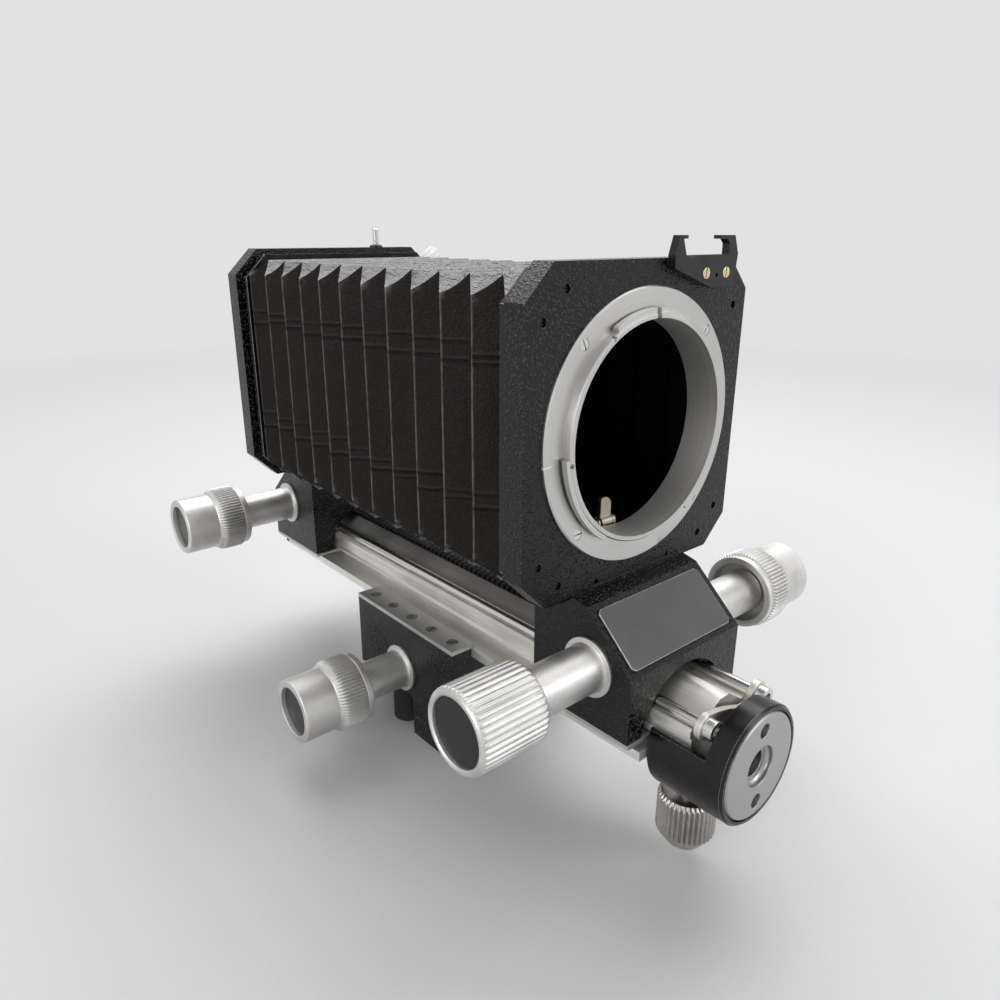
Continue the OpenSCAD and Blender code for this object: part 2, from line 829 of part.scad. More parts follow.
module nameplate() color([0.13, 0.13, 0.135])
  on_slope()
    translate([0, 0, -0.5])
      linear_extrude(height = 0.9)
        polygon([[-plate_half + 0.9, -7.7], [plate_half - 0.9, -7.7],
                 [plate_half, -6.8], [plate_half, 6.8],
                 [plate_half - 0.9, 7.7], [-plate_half + 0.9, 7.7],
                 [-plate_half, 6.8], [-plate_half, -6.8]]);

module front_base_plate() color(bright)
  base_plate();

module front_base_screws() color(steel)
  base_screws();

module lens_mount_ring() color(steel)
  difference() {
    union() {
      translate([0, 0, axis_z])
        rotate([-90, 0, 0])
          rotate_extrude($fn = 128)
            polygon([[throat_r, front_y - lip_h],
                     [lip_r - 0.7, front_y - lip_h],
                     [lip_r - 0.4, front_y - lip_h + 0.3],
                     [lip_r - 0.4, front_y - flange_h],
                     [flange_r - 0.3, front_y - flange_h],
                     [flange_r, front_y - flange_h + 0.3],
                     [flange_r, front_y + 1], [ring_seat_r, front_y + 1],
                     [ring_seat_r, back_y], [throat_r, back_y]]);
      for (a = [92, 212, 332])
        rotate_about_axis(a)
          along_y(front_y - lip_h + 0.2, front_y - lip_h + 1.6)
            polygon(concat(
              [for (t = [-27 : 2 : 27]) (lip_r + 0.6)*[cos(t), sin(t)]],
              [for (t = [27 : -2 : -27]) (lip_r - 1)*[cos(t), sin(t)]]));
    }
    translate([-0.7, front_y - lip_h - 1, axis_z + throat_r - 1])
      cube([1.4, 2.4, 4]);
    for (a = [123, 188]) rotate_about_axis(a)
      translate([lip_r - 0.8, 0, 0])
        yrod(0.5, front_y - lip_h - 1, front_y - lip_h + 1);
    for (i = [0 : 3])
      rotate_about_axis(45 + 90*i)
        translate([flange_screw_r, 0, 0]) {
          yrod(1.25, front_y - 5, front_y - flange_h + 1);
          yrod(0.7, front_y - 5, front_y + 2);
        }
  }

module mount_ring_screws() color(bright)
  for (i = [0 : 3])
    rotate_about_axis(45 + 90*i)
      translate([flange_screw_r, front_y - flange_h + 1, 0])
        rotate([90, 20*i, 0])
          slotted(1.2, 0.9, 0.7, 3.7);

// A flat plate on the top edge, with two hooks that face each other
module index_bracket() color([0.11, 0.12, 0.125])
  difference() {
    translate([0, 0, axis_z])
      along_y(front_y - bracket_t, front_y)
        polygon([[5.3, 34.5], [6.3, 33.9], [18.7, 29.9], [27.1, 30.1],
                 [27.6, 30.6], [28.3, 37], [26.6, 41], [21.1, 41],
                 [21.1, 40.2], [23.6, 40.2], [24.7, 39.2], [24.7, 36.9],
                 [9, 36.9], [7.7, 40.2], [9.2, 40.3], [9.2, 41],
                 [6.5, 41], [5.2, 37]]);
    for (x = bracket_x)
      translate([x, 0, axis_z + 33])
        yrod(1.3, front_y - bracket_t - 1, front_y + 1);
    translate([20.6, 0, axis_z + 32.4])
      yrod(0.45, front_y - bracket_t - 1, front_y - bracket_t + 0.6);
  }

module bracket_screws() color(brass)
  for (x = bracket_x)
    translate([x, front_y, axis_z + 33])
      rotate([90, 5, 0])
        rotate([0, 0, 90])
          slotted(1.25, bracket_t + 0.15, 0.8, 3.8);

module front_bushings() color(satin)
  bushings_pair();

module frame_ring(y0, y1, d, open)
  difference() {
    along_y(y0, y1)
      octagon(d);
    translate([0, 0, axis_z])
      box([-open, y0 - 1, -open], [open, y1 + 1, open]);
  }

module front_bellows_frame() color(black)
  difference() {
    frame_ring(back_y, bel_front, 1.2, frame_open);
    for (p = front_holes())
      translate([p[0], 0, axis_z + p[1]])
        yrod(0.9, back_y - 1, bel_front - 0.6);
  }

module front_frame_screws() color(black)
  for (p = front_holes())
    translate([p[0], 0, axis_z + p[1]])
      difference() {
        yrod(0.85, front_y + 0.5, bel_front - 0.7);
        translate([-2, front_y, -0.12])
          cube([4, 0.8, 0.24]);
      }

module front_guide_shoes() color(brass)
  guide_shoes();

module front_drive_shaft() color(steel)
  drive_shaft_left(-90 - mesh(front_drive_y));

module front_drive_knob() color(satin)
  drive_knob_left();

module front_lock_screw() color(steel)
  lock_screw_right();

module front_lock_knob() color(satin)
  lock_knob_right();

// ---- diaphragm lever -----------------------------------------------

pin_r = 0.9;
eye_r = 1.5;

module diaphragm_lever() color(bright)
  translate([0, lever_y, lever_z])
    difference() {
      union() {
        along_y(-0.6, 0.5)
          polygon(concat(
            [[lever_x[0], 0], [lever_x[0], 5.9], [lever_x[0] + 0.4, 6.3]],
            [for (t = [90 : -15 : 0])
              [lever_x[1] - 2.2 + 2.2*cos(t), 4.1 + 2.2*sin(t)]],
            [[lever_x[1], 0]]));
        xrod(eye_r, lever_x[0], lever_x[1]);
      }
      xrod(pin_r + run, lever_x[0] - 1, lever_x[1] + 1);
    }

// A bent strip on the frame's lower bar, with two ears and their pin
module lever_bracket() color(bright) {
  z0 = axis_z - frame_open;
  x0 = lever_x[0] - 3.3;
  x1 = lever_x[1] + 0.2;
  box([x0 - 0.8, back_y + 0.3, z0], [x1 + 0.8, bel_front - 0.1, z0 + 0.6]);
  for (x = [x0 - 0.8, x1])
    hull() {
      box([x, back_y + 0.3, z0], [x + 0.8, bel_front - 0.1, z0 + 0.6]);
      translate([0, lever_y, lever_z])
        xrod(1.4, x, x + 0.8);
    }
  translate([0, lever_y, lever_z])
    xrod(pin_r, x0 - 0.8, x1 + 0.8);
}

spring_turns = 3;
spring_wire = 0.24;
spring_r = pin_r + spring_wire + 0.12;
spring_pitch = 0.92;

// Ring k of the spring's wire, six points round a helix on the pin
function coil_pt(k, i) =
  let (t = k*45, b = i*60,
       r = spring_r + spring_wire*cos(b))
    [lever_x[0] - 0.35 - spring_pitch*k/8 + spring_wire*sin(b),
     lever_y + r*cos(t), lever_z + r*sin(t)];

module lever_spring() color(brass) {
  n = 8*spring_turns;
  polyhedron(
    points = [for (k = [0 : n], i = [0 : 5]) coil_pt(k, i)],
    faces = concat(
      [for (k = [0 : n - 1], i = [0 : 5])
        [6*k + i, 6*k + (i + 1) % 6, 6*k + 6 + (i + 1) % 6]],
      [for (k = [0 : n - 1], i = [0 : 5])
        [6*k + i, 6*k + 6 + (i + 1) % 6, 6*k + 6 + i]],
      [[for (i = [5 : -1 : 0]) i]],
      [[for (i = [0 : 5]) 6*n + i]]));
  echo(least_gap_of_the_spring = spring_pitch - 2*spring_wire);
}

// ---- rear standard -------------------------------------------------

clamp_a = 40.5;
clamp_end = 53.7;
clamp_shank = 1.45;
pin_x = 16;
release_r = 0.95;
mid_y = (rear_y + rear_back)/2;

module rear_standard() color(crackle)
  difference() {
    union() {
      turned()
        standard_casting(carrier_r + run, carrier_r + 2 + run, 2,
                         rear_holes(-1));
      translate([pin_x, mid_y, axis_z + plate_up - 1])
        rotate_extrude($fn = 32)
          polygon([[0, 0], [2.2, 0], [2.2, 1.4], [1.5, 1.9], [0, 1.9]]);
    }
    rotate_about_axis(clamp_a)
      translate([carrier_r + 1, mid_y, 0])
        xrod(clamp_shank + run, 0, 20);
    translate([pin_x, mid_y, axis_z + plate_up - 8.4])
      cylinder(r = release_r + run, h = 11, $fn = 32);
  }

module rear_base_plate() color(bright)
  turned()
    base_plate();

module rear_base_screws() color(steel)
  turned()
    base_screws();

module camera_mount_carrier() color(black)
  difference() {
    translate([0, 0, axis_z])
      rotate([-90, 0, 0])
        rotate_extrude($fn = 96)
          polygon([[breech_r, rear_y], [carrier_r, rear_y],
                   [carrier_r, rear_back - 2],
                   [carrier_r + 2, rear_back - 2],
                   [carrier_r + 2, rear_back],
                   [carrier_r + 1, rear_back + 1],
                   [breech_r, rear_back + 1]]);
    for (i = [0 : 2])
      rotate_about_axis(90 + 120*i)
        translate([cam_screw_r, 0, 0])
          yrod(0.6, rear_back - 1.5, rear_back + 2);
  }

module camera_mount_ring() color(steel)
  translate([0, 0, axis_z])
    difference() {
      union() {
        rotate([-90, 0, 0])
          rotate_extrude($fn = 96)
            polygon([[cam_r, rear_back - 1], [breech_r, rear_back - 1],
                     [breech_r, rear_back + 1],
                     [carrier_r - 0.4, rear_back + 1],
                     [carrier_r - 0.4, rear_back + 2],
                     [breech_r + 0.4, rear_back + 2],
                     [breech_r + 0.4, rear_back + 5.2],
                     [cam_r, rear_back + 5.2]]);
        for (a = [30, 150, 270])
          rotate([0, -a, 0])
            along_y(rear_back + 4, rear_back + 5.2)
              polygon(concat(
                [for (t = [-24 : 2 : 24])
                  (breech_r + 1.6)*[cos(t), sin(t)]],
                [for (t = [24 : -2 : -24]) breech_r*[cos(t), sin(t)]]));
      }
      for (i = [0 : 2])
        rotate([0, -90 - 120*i, 0])
          translate([cam_screw_r, 0, 0])
            yrod(0.6, rear_back, rear_back + 3);
    }

module camera_ring_screws() color(bright)
  for (i = [0 : 2])
    rotate_about_axis(90 + 120*i)
      translate([cam_screw_r, rear_back + 2, 0])
        rotate([-90, 30*i, 0])
          slotted(1, 0.5, 0.6, 3);

module mount_clamp_screw() color(satin)
  rotate_about_axis(clamp_a)
    translate([0, mid_y, 0]) {
      xrod(clamp_shank, carrier_r + 2 + run, clamp_end - 4);
      along_x(clamp_end - 6.6, clamp_end)
        polygon([for (i = [0 : 47])
          let (r = 2.45 - (i % 2)*0.2, t = i*7.5)
            [r*cos(t), r*sin(t)]]);
    }

module mount_release_pin() color(bright)
  translate([pin_x, mid_y, axis_z + plate_up - 6.2])
    union() {
      cylinder(r = release_r, h = 12, $fn = 32);
      translate([0, 0, 12])
        cylinder(r1 = release_r, r2 = 0.55, h = 0.4, $fn = 32);
    }

module rear_bushings() color(satin)
  turned()
    bushings_pair();

module rear_bellows_frame() color(black)
  difference() {
    union() {
      frame_ring(bel_back, bel_back + 1.8, 1.6, frame_open);
      frame_ring(bel_back + 1.7, rear_y, 3.4, frame_open);
    }
    for (p = rear_holes(1))
      translate([p[0], 0, axis_z + p[1]])
        yrod(0.9, bel_back + 0.7, rear_y + 1);
  }

module rear_frame_screws() color(black)
  for (p = rear_holes(1))
    translate([p[0], 0, axis_z + p[1]])
      difference() {
        yrod(0.85, bel_back + 0.8, rear_back - 0.5);
        translate([-2, rear_back - 0.8, -0.12])
          cube([4, 1.3, 0.24]);
      }

module rear_guide_shoes() color(brass)
  turned()
    guide_shoes();

module rear_drive_shaft() color(steel)
  turned()
    drive_shaft_left(-90 + mesh(2*mir - front_drive_y));

module rear_drive_knob() color(satin)
  turned()
    drive_knob_left();

module rear_lock_screw() color(steel)
  turned()
    lock_screw_right();

module rear_lock_knob() color(satin)
  turned()
    lock_knob_right();

// ---- bellows -------------------------------------------------------

// Corner i of ring j, moved in by d: even rings are wide, odd ones tall
function fold_pt(j, i, d) =
  let (w = fold_w - (j % 2)*fold_d - d,
       h = fold_h + (j % 2)*fold_d - d)
    [w*[-1, 1, 1, -1][i], bel_front + j*seg,
     axis_z + h*[-1, -1, 1, 1][i]];

module folds(j0, j1) {
  n = j1 - j0;
  o = 4*(n + 1);
  polyhedron(
    points = concat(
      [for (j = [j0 : j1], i = [0 : 3]) fold_pt(j, i, 0)],
      [for (j = [j0 : j1], i = [0 : 3]) fold_pt(j, i, cloth_t)]),
    faces = concat(
      [for (k = [0 : n - 1], i = [0 : 3])
        [4*k + i, 4*k + 4 + i, 4*k + 4 + (i + 1) % 4, 4*k + (i + 1) % 4]],
      [for (k = [0 : n - 1], i = [0 : 3])
        [o + 4*k + i, o + 4*k + (i + 1) % 4,
         o + 4*k + 4 + (i + 1) % 4, o + 4*k + 4 + i]],
      [for (i = [0 : 3]) [i, (i + 1) % 4, o + (i + 1) % 4, o + i]],
      [for (i = [0 : 3]) [4*n + i, o + 4*n + i,
        o + 4*n + (i + 1) % 4, 4*n + (i + 1) % 4]]));
}

module bellows_front() color(cloth)
  folds(0, pleats);

module bellows_rear() color(cloth)
  folds(pleats, 2*pleats);

carriage_body();
carriage_cover_strips();
cover_strip_screws();
tripod_foot();
rear_feet();
carriage_bushings();
carriage_drive_shaft();
carriage_drive_knob();
carriage_lock_screw();
carriage_lock_knob();
rail();
upper_rack();
lower_rack();
guide_rods();
guide_rod_screws();
rod_strap();
end_clamp();
end_disc();
clamp_knob();
clamp_screw();
rail_end_stop();
end_stop_screws();
front_standard();
front_base_plate();
front_base_screws();
lens_mount_ring();
mount_ring_screws();
nameplate();
index_bracket();
bracket_screws();
front_bushings();
front_bellows_frame();
front_frame_screws();
front_guide_shoes();
front_drive_shaft();
front_drive_knob();
front_lock_screw();
front_lock_knob();
diaphragm_lever();
lever_bracket();
lever_spring();
rear_standard();
rear_base_plate();
rear_base_screws();
camera_mount_carrier();
camera_mount_ring();
camera_ring_screws();
mount_clamp_screw();
mount_release_pin();
rear_bushings();
rear_bellows_frame();
rear_frame_screws();
rear_guide_shoes();
rear_drive_shaft();
rear_drive_knob();
rear_lock_screw();
rear_lock_knob();
bellows_front();
bellows_rear();
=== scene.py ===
# The looks of a macro bellows unit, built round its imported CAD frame: two wrinkle-painted
# standards on a satin monorail, a folded leathercloth bellows between them, and turned
# aluminium knobs. Metres; the lens side faces -Y and Z is up.

import json
import math

import bmesh
import bpy
import numpy as np
from mathutils import Matrix


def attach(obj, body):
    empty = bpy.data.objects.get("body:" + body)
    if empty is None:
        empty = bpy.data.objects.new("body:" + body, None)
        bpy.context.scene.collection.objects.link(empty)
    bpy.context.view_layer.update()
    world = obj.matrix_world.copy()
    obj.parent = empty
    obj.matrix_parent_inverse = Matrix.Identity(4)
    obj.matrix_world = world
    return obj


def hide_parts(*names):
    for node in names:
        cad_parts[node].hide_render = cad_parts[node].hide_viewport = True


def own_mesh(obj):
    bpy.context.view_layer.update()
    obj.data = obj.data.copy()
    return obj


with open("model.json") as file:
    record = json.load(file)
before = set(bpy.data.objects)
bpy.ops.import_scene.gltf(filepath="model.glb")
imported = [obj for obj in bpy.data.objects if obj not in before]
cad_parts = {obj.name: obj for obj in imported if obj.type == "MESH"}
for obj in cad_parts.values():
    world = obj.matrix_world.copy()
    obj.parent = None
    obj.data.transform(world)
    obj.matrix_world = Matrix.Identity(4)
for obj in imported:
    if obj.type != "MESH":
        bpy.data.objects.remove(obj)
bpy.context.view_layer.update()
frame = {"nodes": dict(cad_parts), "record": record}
MM = 0.001
body_of = {}
for body_name, members in frame["record"]["behaviour"]["bodies"].items():
    for member in members:
        body_of[member] = body_name
slot_of = {part["node"]: part["material_slot"] for part in frame["record"]["subparts"]}

# ---------------------------------------------------------------------------
# The picture: camera, floor and lamps
# The camera stands where the photograph was taken, in front and to the left,
# looking down at about 19 degrees with a 28 mm lens. The floor sweeps up behind.


def put(name, data):
    """A new object in the scene that holds the given mesh, camera or light."""
    obj = bpy.data.objects.new(name, data)
    bpy.context.scene.collection.objects.link(obj)
    return obj


pitch, yaw, roll = -0.333, 0.711, 0.003
ahead = np.array([math.sin(yaw) * math.cos(pitch), math.cos(yaw) * math.cos(pitch), math.sin(pitch)])
level = np.array([math.cos(yaw), -math.sin(yaw), 0.0])
upward = np.cross(level, ahead)
placed = np.eye(4)
placed[:3, 0] = level * math.cos(roll) + upward * math.sin(roll)
placed[:3, 1] = upward * math.cos(roll) - level * math.sin(roll)
placed[:3, 2] = -ahead
placed[:3, 3] = [-0.134611, -0.159256, 0.144908]
lens = bpy.data.cameras.new("camera")
lens.lens = 27.91
lens.sensor_width = 36.0
lens.clip_start = 0.01
camera = put("camera", lens)
camera.matrix_world = Matrix(placed.tolist())
bpy.context.scene.camera = camera


def add(tree, kind, inputs=(), **settings):
    """One shader node: settings are its properties, inputs the values or links of its sockets."""
    node = tree.nodes.new(kind)
    for key, value in settings.items():
        setattr(node, key, value)
    for key, value in dict(inputs).items():
        socket = node.inputs[key]
        if isinstance(value, bpy.types.NodeSocket):
            tree.links.new(value, socket)
        else:
            socket.default_value = value
    return node


def blank_material(name):
    """A material with a Principled shader wired to its output.

    Gives the material, its tree, the shader and the place on the piece."""
    material = bpy.data.materials.new(name)
    material.use_nodes = True
    tree = material.node_tree
    tree.nodes.clear()
    shader = add(tree, "ShaderNodeBsdfPrincipled")
    add(tree, "ShaderNodeOutputMaterial", {0: shader.outputs[0]})
    return material, tree, shader, add(tree, "ShaderNodeTexCoord").outputs["Object"]


def maths(tree, operation, *values):
    """The result of a Math node."""
    return add(tree, "ShaderNodeMath", dict(enumerate(values)), operation=operation).outputs[0]


def vectors(tree, operation, *values):
    """The result of a Vector Math node: a number for a length or a dot product, otherwise a vector."""
    node = add(tree, "ShaderNodeVectorMath", dict(enumerate(values)), operation=operation)
    return node.outputs["Value" if operation in ("LENGTH", "DOT_PRODUCT") else "Vector"]


def noise(tree, place, scale, detail=2.0, **more):
    """The value of a Noise texture."""
    sockets = {"Vector": place, "Scale": scale, "Detail": detail, **more}
    return add(tree, "ShaderNodeTexNoise", sockets).outputs["Fac"]


def remap(tree, value, low, high, to_low=0.0, to_high=1.0, **settings):
    """The value with low to high stretched to to_low to to_high, and held there."""
    ends = {"From Min": low, "From Max": high, "To Min": to_low, "To Max": to_high}
    return add(tree, "ShaderNodeMapRange", {"Value": value, **ends}, **settings).outputs[0]


def mix(tree, factor, low, high):
    """The colour between low and high at factor; each is a colour's three values or a socket."""
    low, high = (end + (1,) if isinstance(end, tuple) else end for end in (low, high))
    sockets = {"Factor": factor, "A": low, "B": high}
    return add(tree, "ShaderNodeMix", sockets, data_type="RGBA").outputs["Result"]


def looked_at(tree):
    """1 for rays that show the backdrop, straight or in metal and glass, and 0 for those that carry light."""
    path = add(tree, "ShaderNodeLightPath").outputs
    direct = maths(tree, "MAXIMUM", path["Is Camera Ray"], path["Is Glossy Ray"])
    return maths(tree, "MAXIMUM", direct, path["Is Transmission Ray"])


backdrop = (0.76, 0.76, 0.765, 1)
floor_material, tree, shader, place = blank_material("pale_floor")
tint = mix(tree, noise(tree, place, 900.0), (0.75, 0.75, 0.755), (0.79, 0.79, 0.79))
tree.links.new(tint, shader.inputs["Base Color"])
shader.inputs["Roughness"].default_value = 0.6
far = remap(tree, vectors(tree, "LENGTH", place), 0.28, 0.95)
even = add(tree, "ShaderNodeEmission", {"Color": backdrop})
amount = maths(tree, "MULTIPLY", looked_at(tree), far)
blend = add(tree, "ShaderNodeMixShader", {0: amount, 1: shader.outputs[0], 2: even.outputs[0]})
tree.links.new(blend.outputs[0], tree.nodes["Material Output"].inputs[0])


def sweep_points():
    """Points of the floor, which lies flat, bends up on a quarter circle and ends in a wall."""
    half_width, front, flat_end, bend, wall = 3.0, -3.0, 1.2, 0.8, 4.0
    turn = np.linspace(0, math.pi / 2, 40)[1:]
    flat = np.linspace(front, flat_end, 6)
    run = np.concatenate([flat, flat_end + bend * np.sin(turn), [flat_end + bend]])
    rise = np.concatenate([np.zeros(6), bend - bend * np.cos(turn), [wall]])
    across, run = np.meshgrid(np.linspace(-half_width, half_width, 3), run)
    x = across * math.cos(yaw) + run * math.sin(yaw)
    y = run * math.cos(yaw) - across * math.sin(yaw)
    return np.stack([x, y, np.repeat(rise[:, None], 3, 1)], -1)


def grid_mesh(name, points, wrap=False, flip=False):
    """A mesh of quads over a grid of points (rows, columns, 3); wrap joins the last column to the first."""
    rows, cols = points.shape[:2]
    r = np.arange(rows - 1)[:, None]
    c = np.arange(cols if wrap else cols - 1)[None, :]
    d = (c + 1) % cols
    quads = np.stack([r * cols + c, r * cols + d, (r + 1) * cols + d, (r + 1) * cols + c], -1).reshape(-1, 4)
    if flip:
        quads = quads[:, ::-1]
    mesh = bpy.data.meshes.new(name)
    mesh.from_pydata(points.reshape(-1, 3).tolist(), [], quads.tolist())
    mesh.validate()
    return mesh


floor_mesh = grid_mesh("floor", sweep_points())
floor_mesh.polygons.foreach_set("use_smooth", [True] * len(floor_mesh.polygons))
floor_mesh.materials.append(floor_material)
floor = put("floor", floor_mesh)

world = bpy.data.worlds.new("studio")
bpy.context.scene.world = world
world.use_nodes = True
tree = world.node_tree
tree.nodes.clear()
sky = add(tree, "ShaderNodeBackground", {"Color": (0.62, 0.63, 0.65, 1), "Strength": 0.46})
seen = add(tree, "ShaderNodeBackground", {"Color": backdrop, "Strength": 1.0})
mixed = add(tree, "ShaderNodeMixShader", {0: looked_at(tree), 1: sky.outputs[0], 2: seen.outputs[0]})
add(tree, "ShaderNodeOutputWorld", {0: mixed.outputs[0]})

middle = np.array([0, 0.01, 0.08])


def lamp(name, place, size, power, colour=(1, 1, 1)):
    """A soft rectangular lamp of the given width and height that faces the middle of the object."""
    light = bpy.data.lights.new(name, "AREA")
    light.shape = "RECTANGLE"
    light.size, light.size_y = size
    light.energy = power
    light.color = colour
    away = np.array(place) - middle
    away /= np.linalg.norm(away)
    side = np.cross([0, 0, 1.0], away)
    side /= np.linalg.norm(side)
    pose = np.eye(4)
    pose[:3, 0] = side
    pose[:3, 1] = np.cross(away, side)
    pose[:3, 2] = away
    pose[:3, 3] = place
    put(name, light).matrix_world = Matrix(pose.tolist())


lamp("overhead", (0.32, 0.30, 0.82), (1.1, 0.8), 7.5)
lamp("left", (-0.95, -0.25, 0.45), (0.5, 0.5), 3.6, (1.0, 0.985, 0.96))
lamp("front", (0.45, -0.90, 0.50), (0.5, 0.4), 2.8, (0.97, 0.985, 1.0))

# ---------------------------------------------------------------------------
# Standards, carriage and foot: castings in black wrinkle paint
# Each is one sand casting, milled where parts seat, with oven-baked wrinkle
# enamel whose tight worm-like bumps are about three quarters of a millimetre across.


def finish_mesh(mesh, sharp):
    """Smooth shading broken at edges sharper than the given angle in degrees."""
    mesh.polygons.foreach_set("use_smooth", [True] * len(mesh.polygons))
    mesh.set_sharp_from_angle(angle=math.radians(sharp))


def place_piece(name, mesh, body, slot, material, *nodes):
    """Puts a finished mesh into the scene, riding on its body and standing for its CAD nodes."""
    piece = put(name, mesh)
    mesh.materials.clear()
    mesh.materials.append(material)
    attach(piece, body)
    if nodes:
        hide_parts(*nodes)
    return piece


def eased_copy(node, width, material, sharp=38, pale_edge=None):
    """A copy of a CAD solid with its facets joined and its edges over sharp degrees rounded to width mm.

    The last argument is the paler material of those edges, where it isn't the solid's own: a painted highlight
    on the castings, worn bare aluminium and a painted highlight on the end clamp and the bellows frames, and
    the bare cut edge on the nameplate."""
    work = bmesh.new()
    work.from_mesh(frame["nodes"][node].data)
    bmesh.ops.remove_doubles(work, verts=work.verts, dist=2e-6)
    bmesh.ops.dissolve_limit(work, angle_limit=math.radians(0.6), verts=work.verts, edges=work.edges)
    mesh = bpy.data.meshes.new(node + "_eased")
    work.to_mesh(mesh)
    work.free()
    finish_mesh(mesh, 32)
    piece = place_piece(mesh.name, mesh, body_of[node], slot_of[node], material, node)
    bevel = piece.modifiers.new("eased", "BEVEL")
    bevel.width = width * MM
    bevel.segments = 2
    bevel.limit_method = "ANGLE"
    bevel.angle_limit = math.radians(sharp)
    bevel.miter_outer = "MITER_ARC"
    bevel.harden_normals = True
    if pale_edge:
        mesh.materials.append(pale_edge)
        bevel.material = 1


def blank_group(name, entries, results):
    """A shader node group whose entries have the given kinds and whose results are numbers.

    Gives the group, the sockets of its entries and those of its results."""
    group = bpy.data.node_groups.new(name, "ShaderNodeTree")
    for label, kind in entries.items():
        group.interface.new_socket(label, in_out="INPUT", socket_type="NodeSocket" + kind)
    for label in results:
        group.interface.new_socket(label, in_out="OUTPUT", socket_type="NodeSocketFloat")
    return group, group.nodes.new("NodeGroupInput").outputs, group.nodes.new("NodeGroupOutput").inputs


def wrinkle_group():
    """Smooth Voronoi cells bent by noise. Puts out their height and a mask of the bumps' tops."""
    entries = {"Vector": "Vector", "Size": "Float"}
    group, entry, leave = blank_group("wrinkle enamel", entries, ["Height", "Tops"])
    place = entry["Vector"]
    bend = add(group, "ShaderNodeTexNoise", {"Vector": place, "Scale": 480.0, "Detail": 2.0}).outputs["Color"]
    bent = vectors(group, "ADD", place, vectors(group, "MULTIPLY", bend, (0.0008, 0.0008, 0.0008)))
    cell = {"Vector": bent, "Scale": entry["Size"], "Smoothness": 0.35}
    cells = add(group, "ShaderNodeTexVoronoi", cell, feature="SMOOTH_F1").outputs["Distance"]
    tops = remap(group, cells, 0.06, 0.48, 1.0, 0.0, interpolation_type="SMOOTHSTEP")
    height = maths(group, "MULTIPLY_ADD", noise(group, place, 3600.0), 0.16, tops)
    group.links.new(height, leave["Height"])
    group.links.new(tops, leave["Tops"])
    return group


wrinkle = wrinkle_group()


def coat(tree, shader, colour, rough, height, depth):
    """Wires a colour, a roughness and a relief of depth mm to the shader."""
    tree.links.new(colour, shader.inputs["Base Color"])
    tree.links.new(rough, shader.inputs["Roughness"])
    bump = add(tree, "ShaderNodeBump", {"Height": height, "Strength": 1.0, "Distance": depth * MM})
    tree.links.new(bump.outputs[0], shader.inputs["Normal"])


def wrinkle_paint(name, depth, hollow, top, rough):
    """Wrinkle enamel: the depth of its bumps in mm, the colours of their hollows and tops, and roughness. The
    darker hollows are painted shade and the lighter tops a painted highlight.
    """
    material, tree, shader, place = blank_material(name)
    bumps = add(tree, "ShaderNodeGroup", {"Vector": place, "Size": 1250.0}, node_tree=wrinkle).outputs
    patches = remap(tree, noise(tree, place, 420.0), 0.35, 0.65, 0.3, 1.0)
    # painted light: the bumps' tops, in random patches, take the lighter colour as a painted highlight, and the
    # hollows take the darker one as painted shade
    colour = mix(tree, maths(tree, "MULTIPLY", bumps["Tops"], patches), hollow, top)
    gloss = remap(tree, noise(tree, place, 45.0, 3.0), 0.3, 0.7, rough - 0.05, rough + 0.07)
    shader.inputs["Specular IOR Level"].default_value = 0.34
    coat(tree, shader, colour, gloss, bumps["Height"], depth)
    return material


# black paint whose hollows are painted shade and whose tops are a painted highlight
black_wrinkle = wrinkle_paint(
    "black_wrinkle_enamel", 0.42, (0.0012, 0.0012, 0.0013), (0.064, 0.064, 0.0645), 0.24
)
# painted highlight: every eased edge of the castings gets a lighter paint that stands in for the lamps'
# highlight along the edges
wrinkle_edge_highlight = wrinkle_paint(
    "wrinkle_edge_painted_highlight", 0.16, (0.020, 0.020, 0.020), (0.34, 0.335, 0.33), 0.30
)
eased_copy("front_standard", 0.42, black_wrinkle, pale_edge=wrinkle_edge_highlight)
eased_copy("rear_standard", 0.42, black_wrinkle, pale_edge=wrinkle_edge_highlight)
eased_copy("carriage_body", 0.32, black_wrinkle, pale_edge=wrinkle_edge_highlight)
eased_copy("tripod_foot", 0.35, black_wrinkle, pale_edge=wrinkle_edge_highlight)

# ---------------------------------------------------------------------------
# Base plates, cover strips and their screws
# Ground aluminium strip, sawn and drilled; the screws are slotted steel, sunk
# flush and darkened by oxide.


def shaded(colour, factor):
    """A colour made darker or lighter by a factor."""
    return tuple(min(1, value * factor) for value in colour)


def metal(name, colour, rough, fleck, fineness, depth, along=None, bare=1.0):
    """Metal whose colour wanders by the share fleck, with grain of a depth in mm.

    along is the grain's fineness along Y where it is drawn out that way; bare under 1 is dulled metal."""
    material, tree, shader, place = blank_material(name)
    scale = (fineness, along or fineness, fineness)
    grain = add(tree, "ShaderNodeMapping", {"Vector": place, "Scale": scale})
    lines = noise(tree, grain.outputs[0], 1.0, 4.0, Roughness=0.6)
    broad = noise(tree, place, 70.0, 4.0)
    spread = remap(tree, maths(tree, "MULTIPLY", lines, broad), 0.12, 0.42)
    tone = mix(tree, spread, shaded(colour, 1 - fleck), shaded(colour, 1 + fleck))
    gloss = remap(tree, broad, 0.3, 0.7, rough * 0.85, rough * 1.2)
    shader.inputs["Metallic"].default_value = bare
    coat(tree, shader, tone, gloss, lines, depth)
    return material


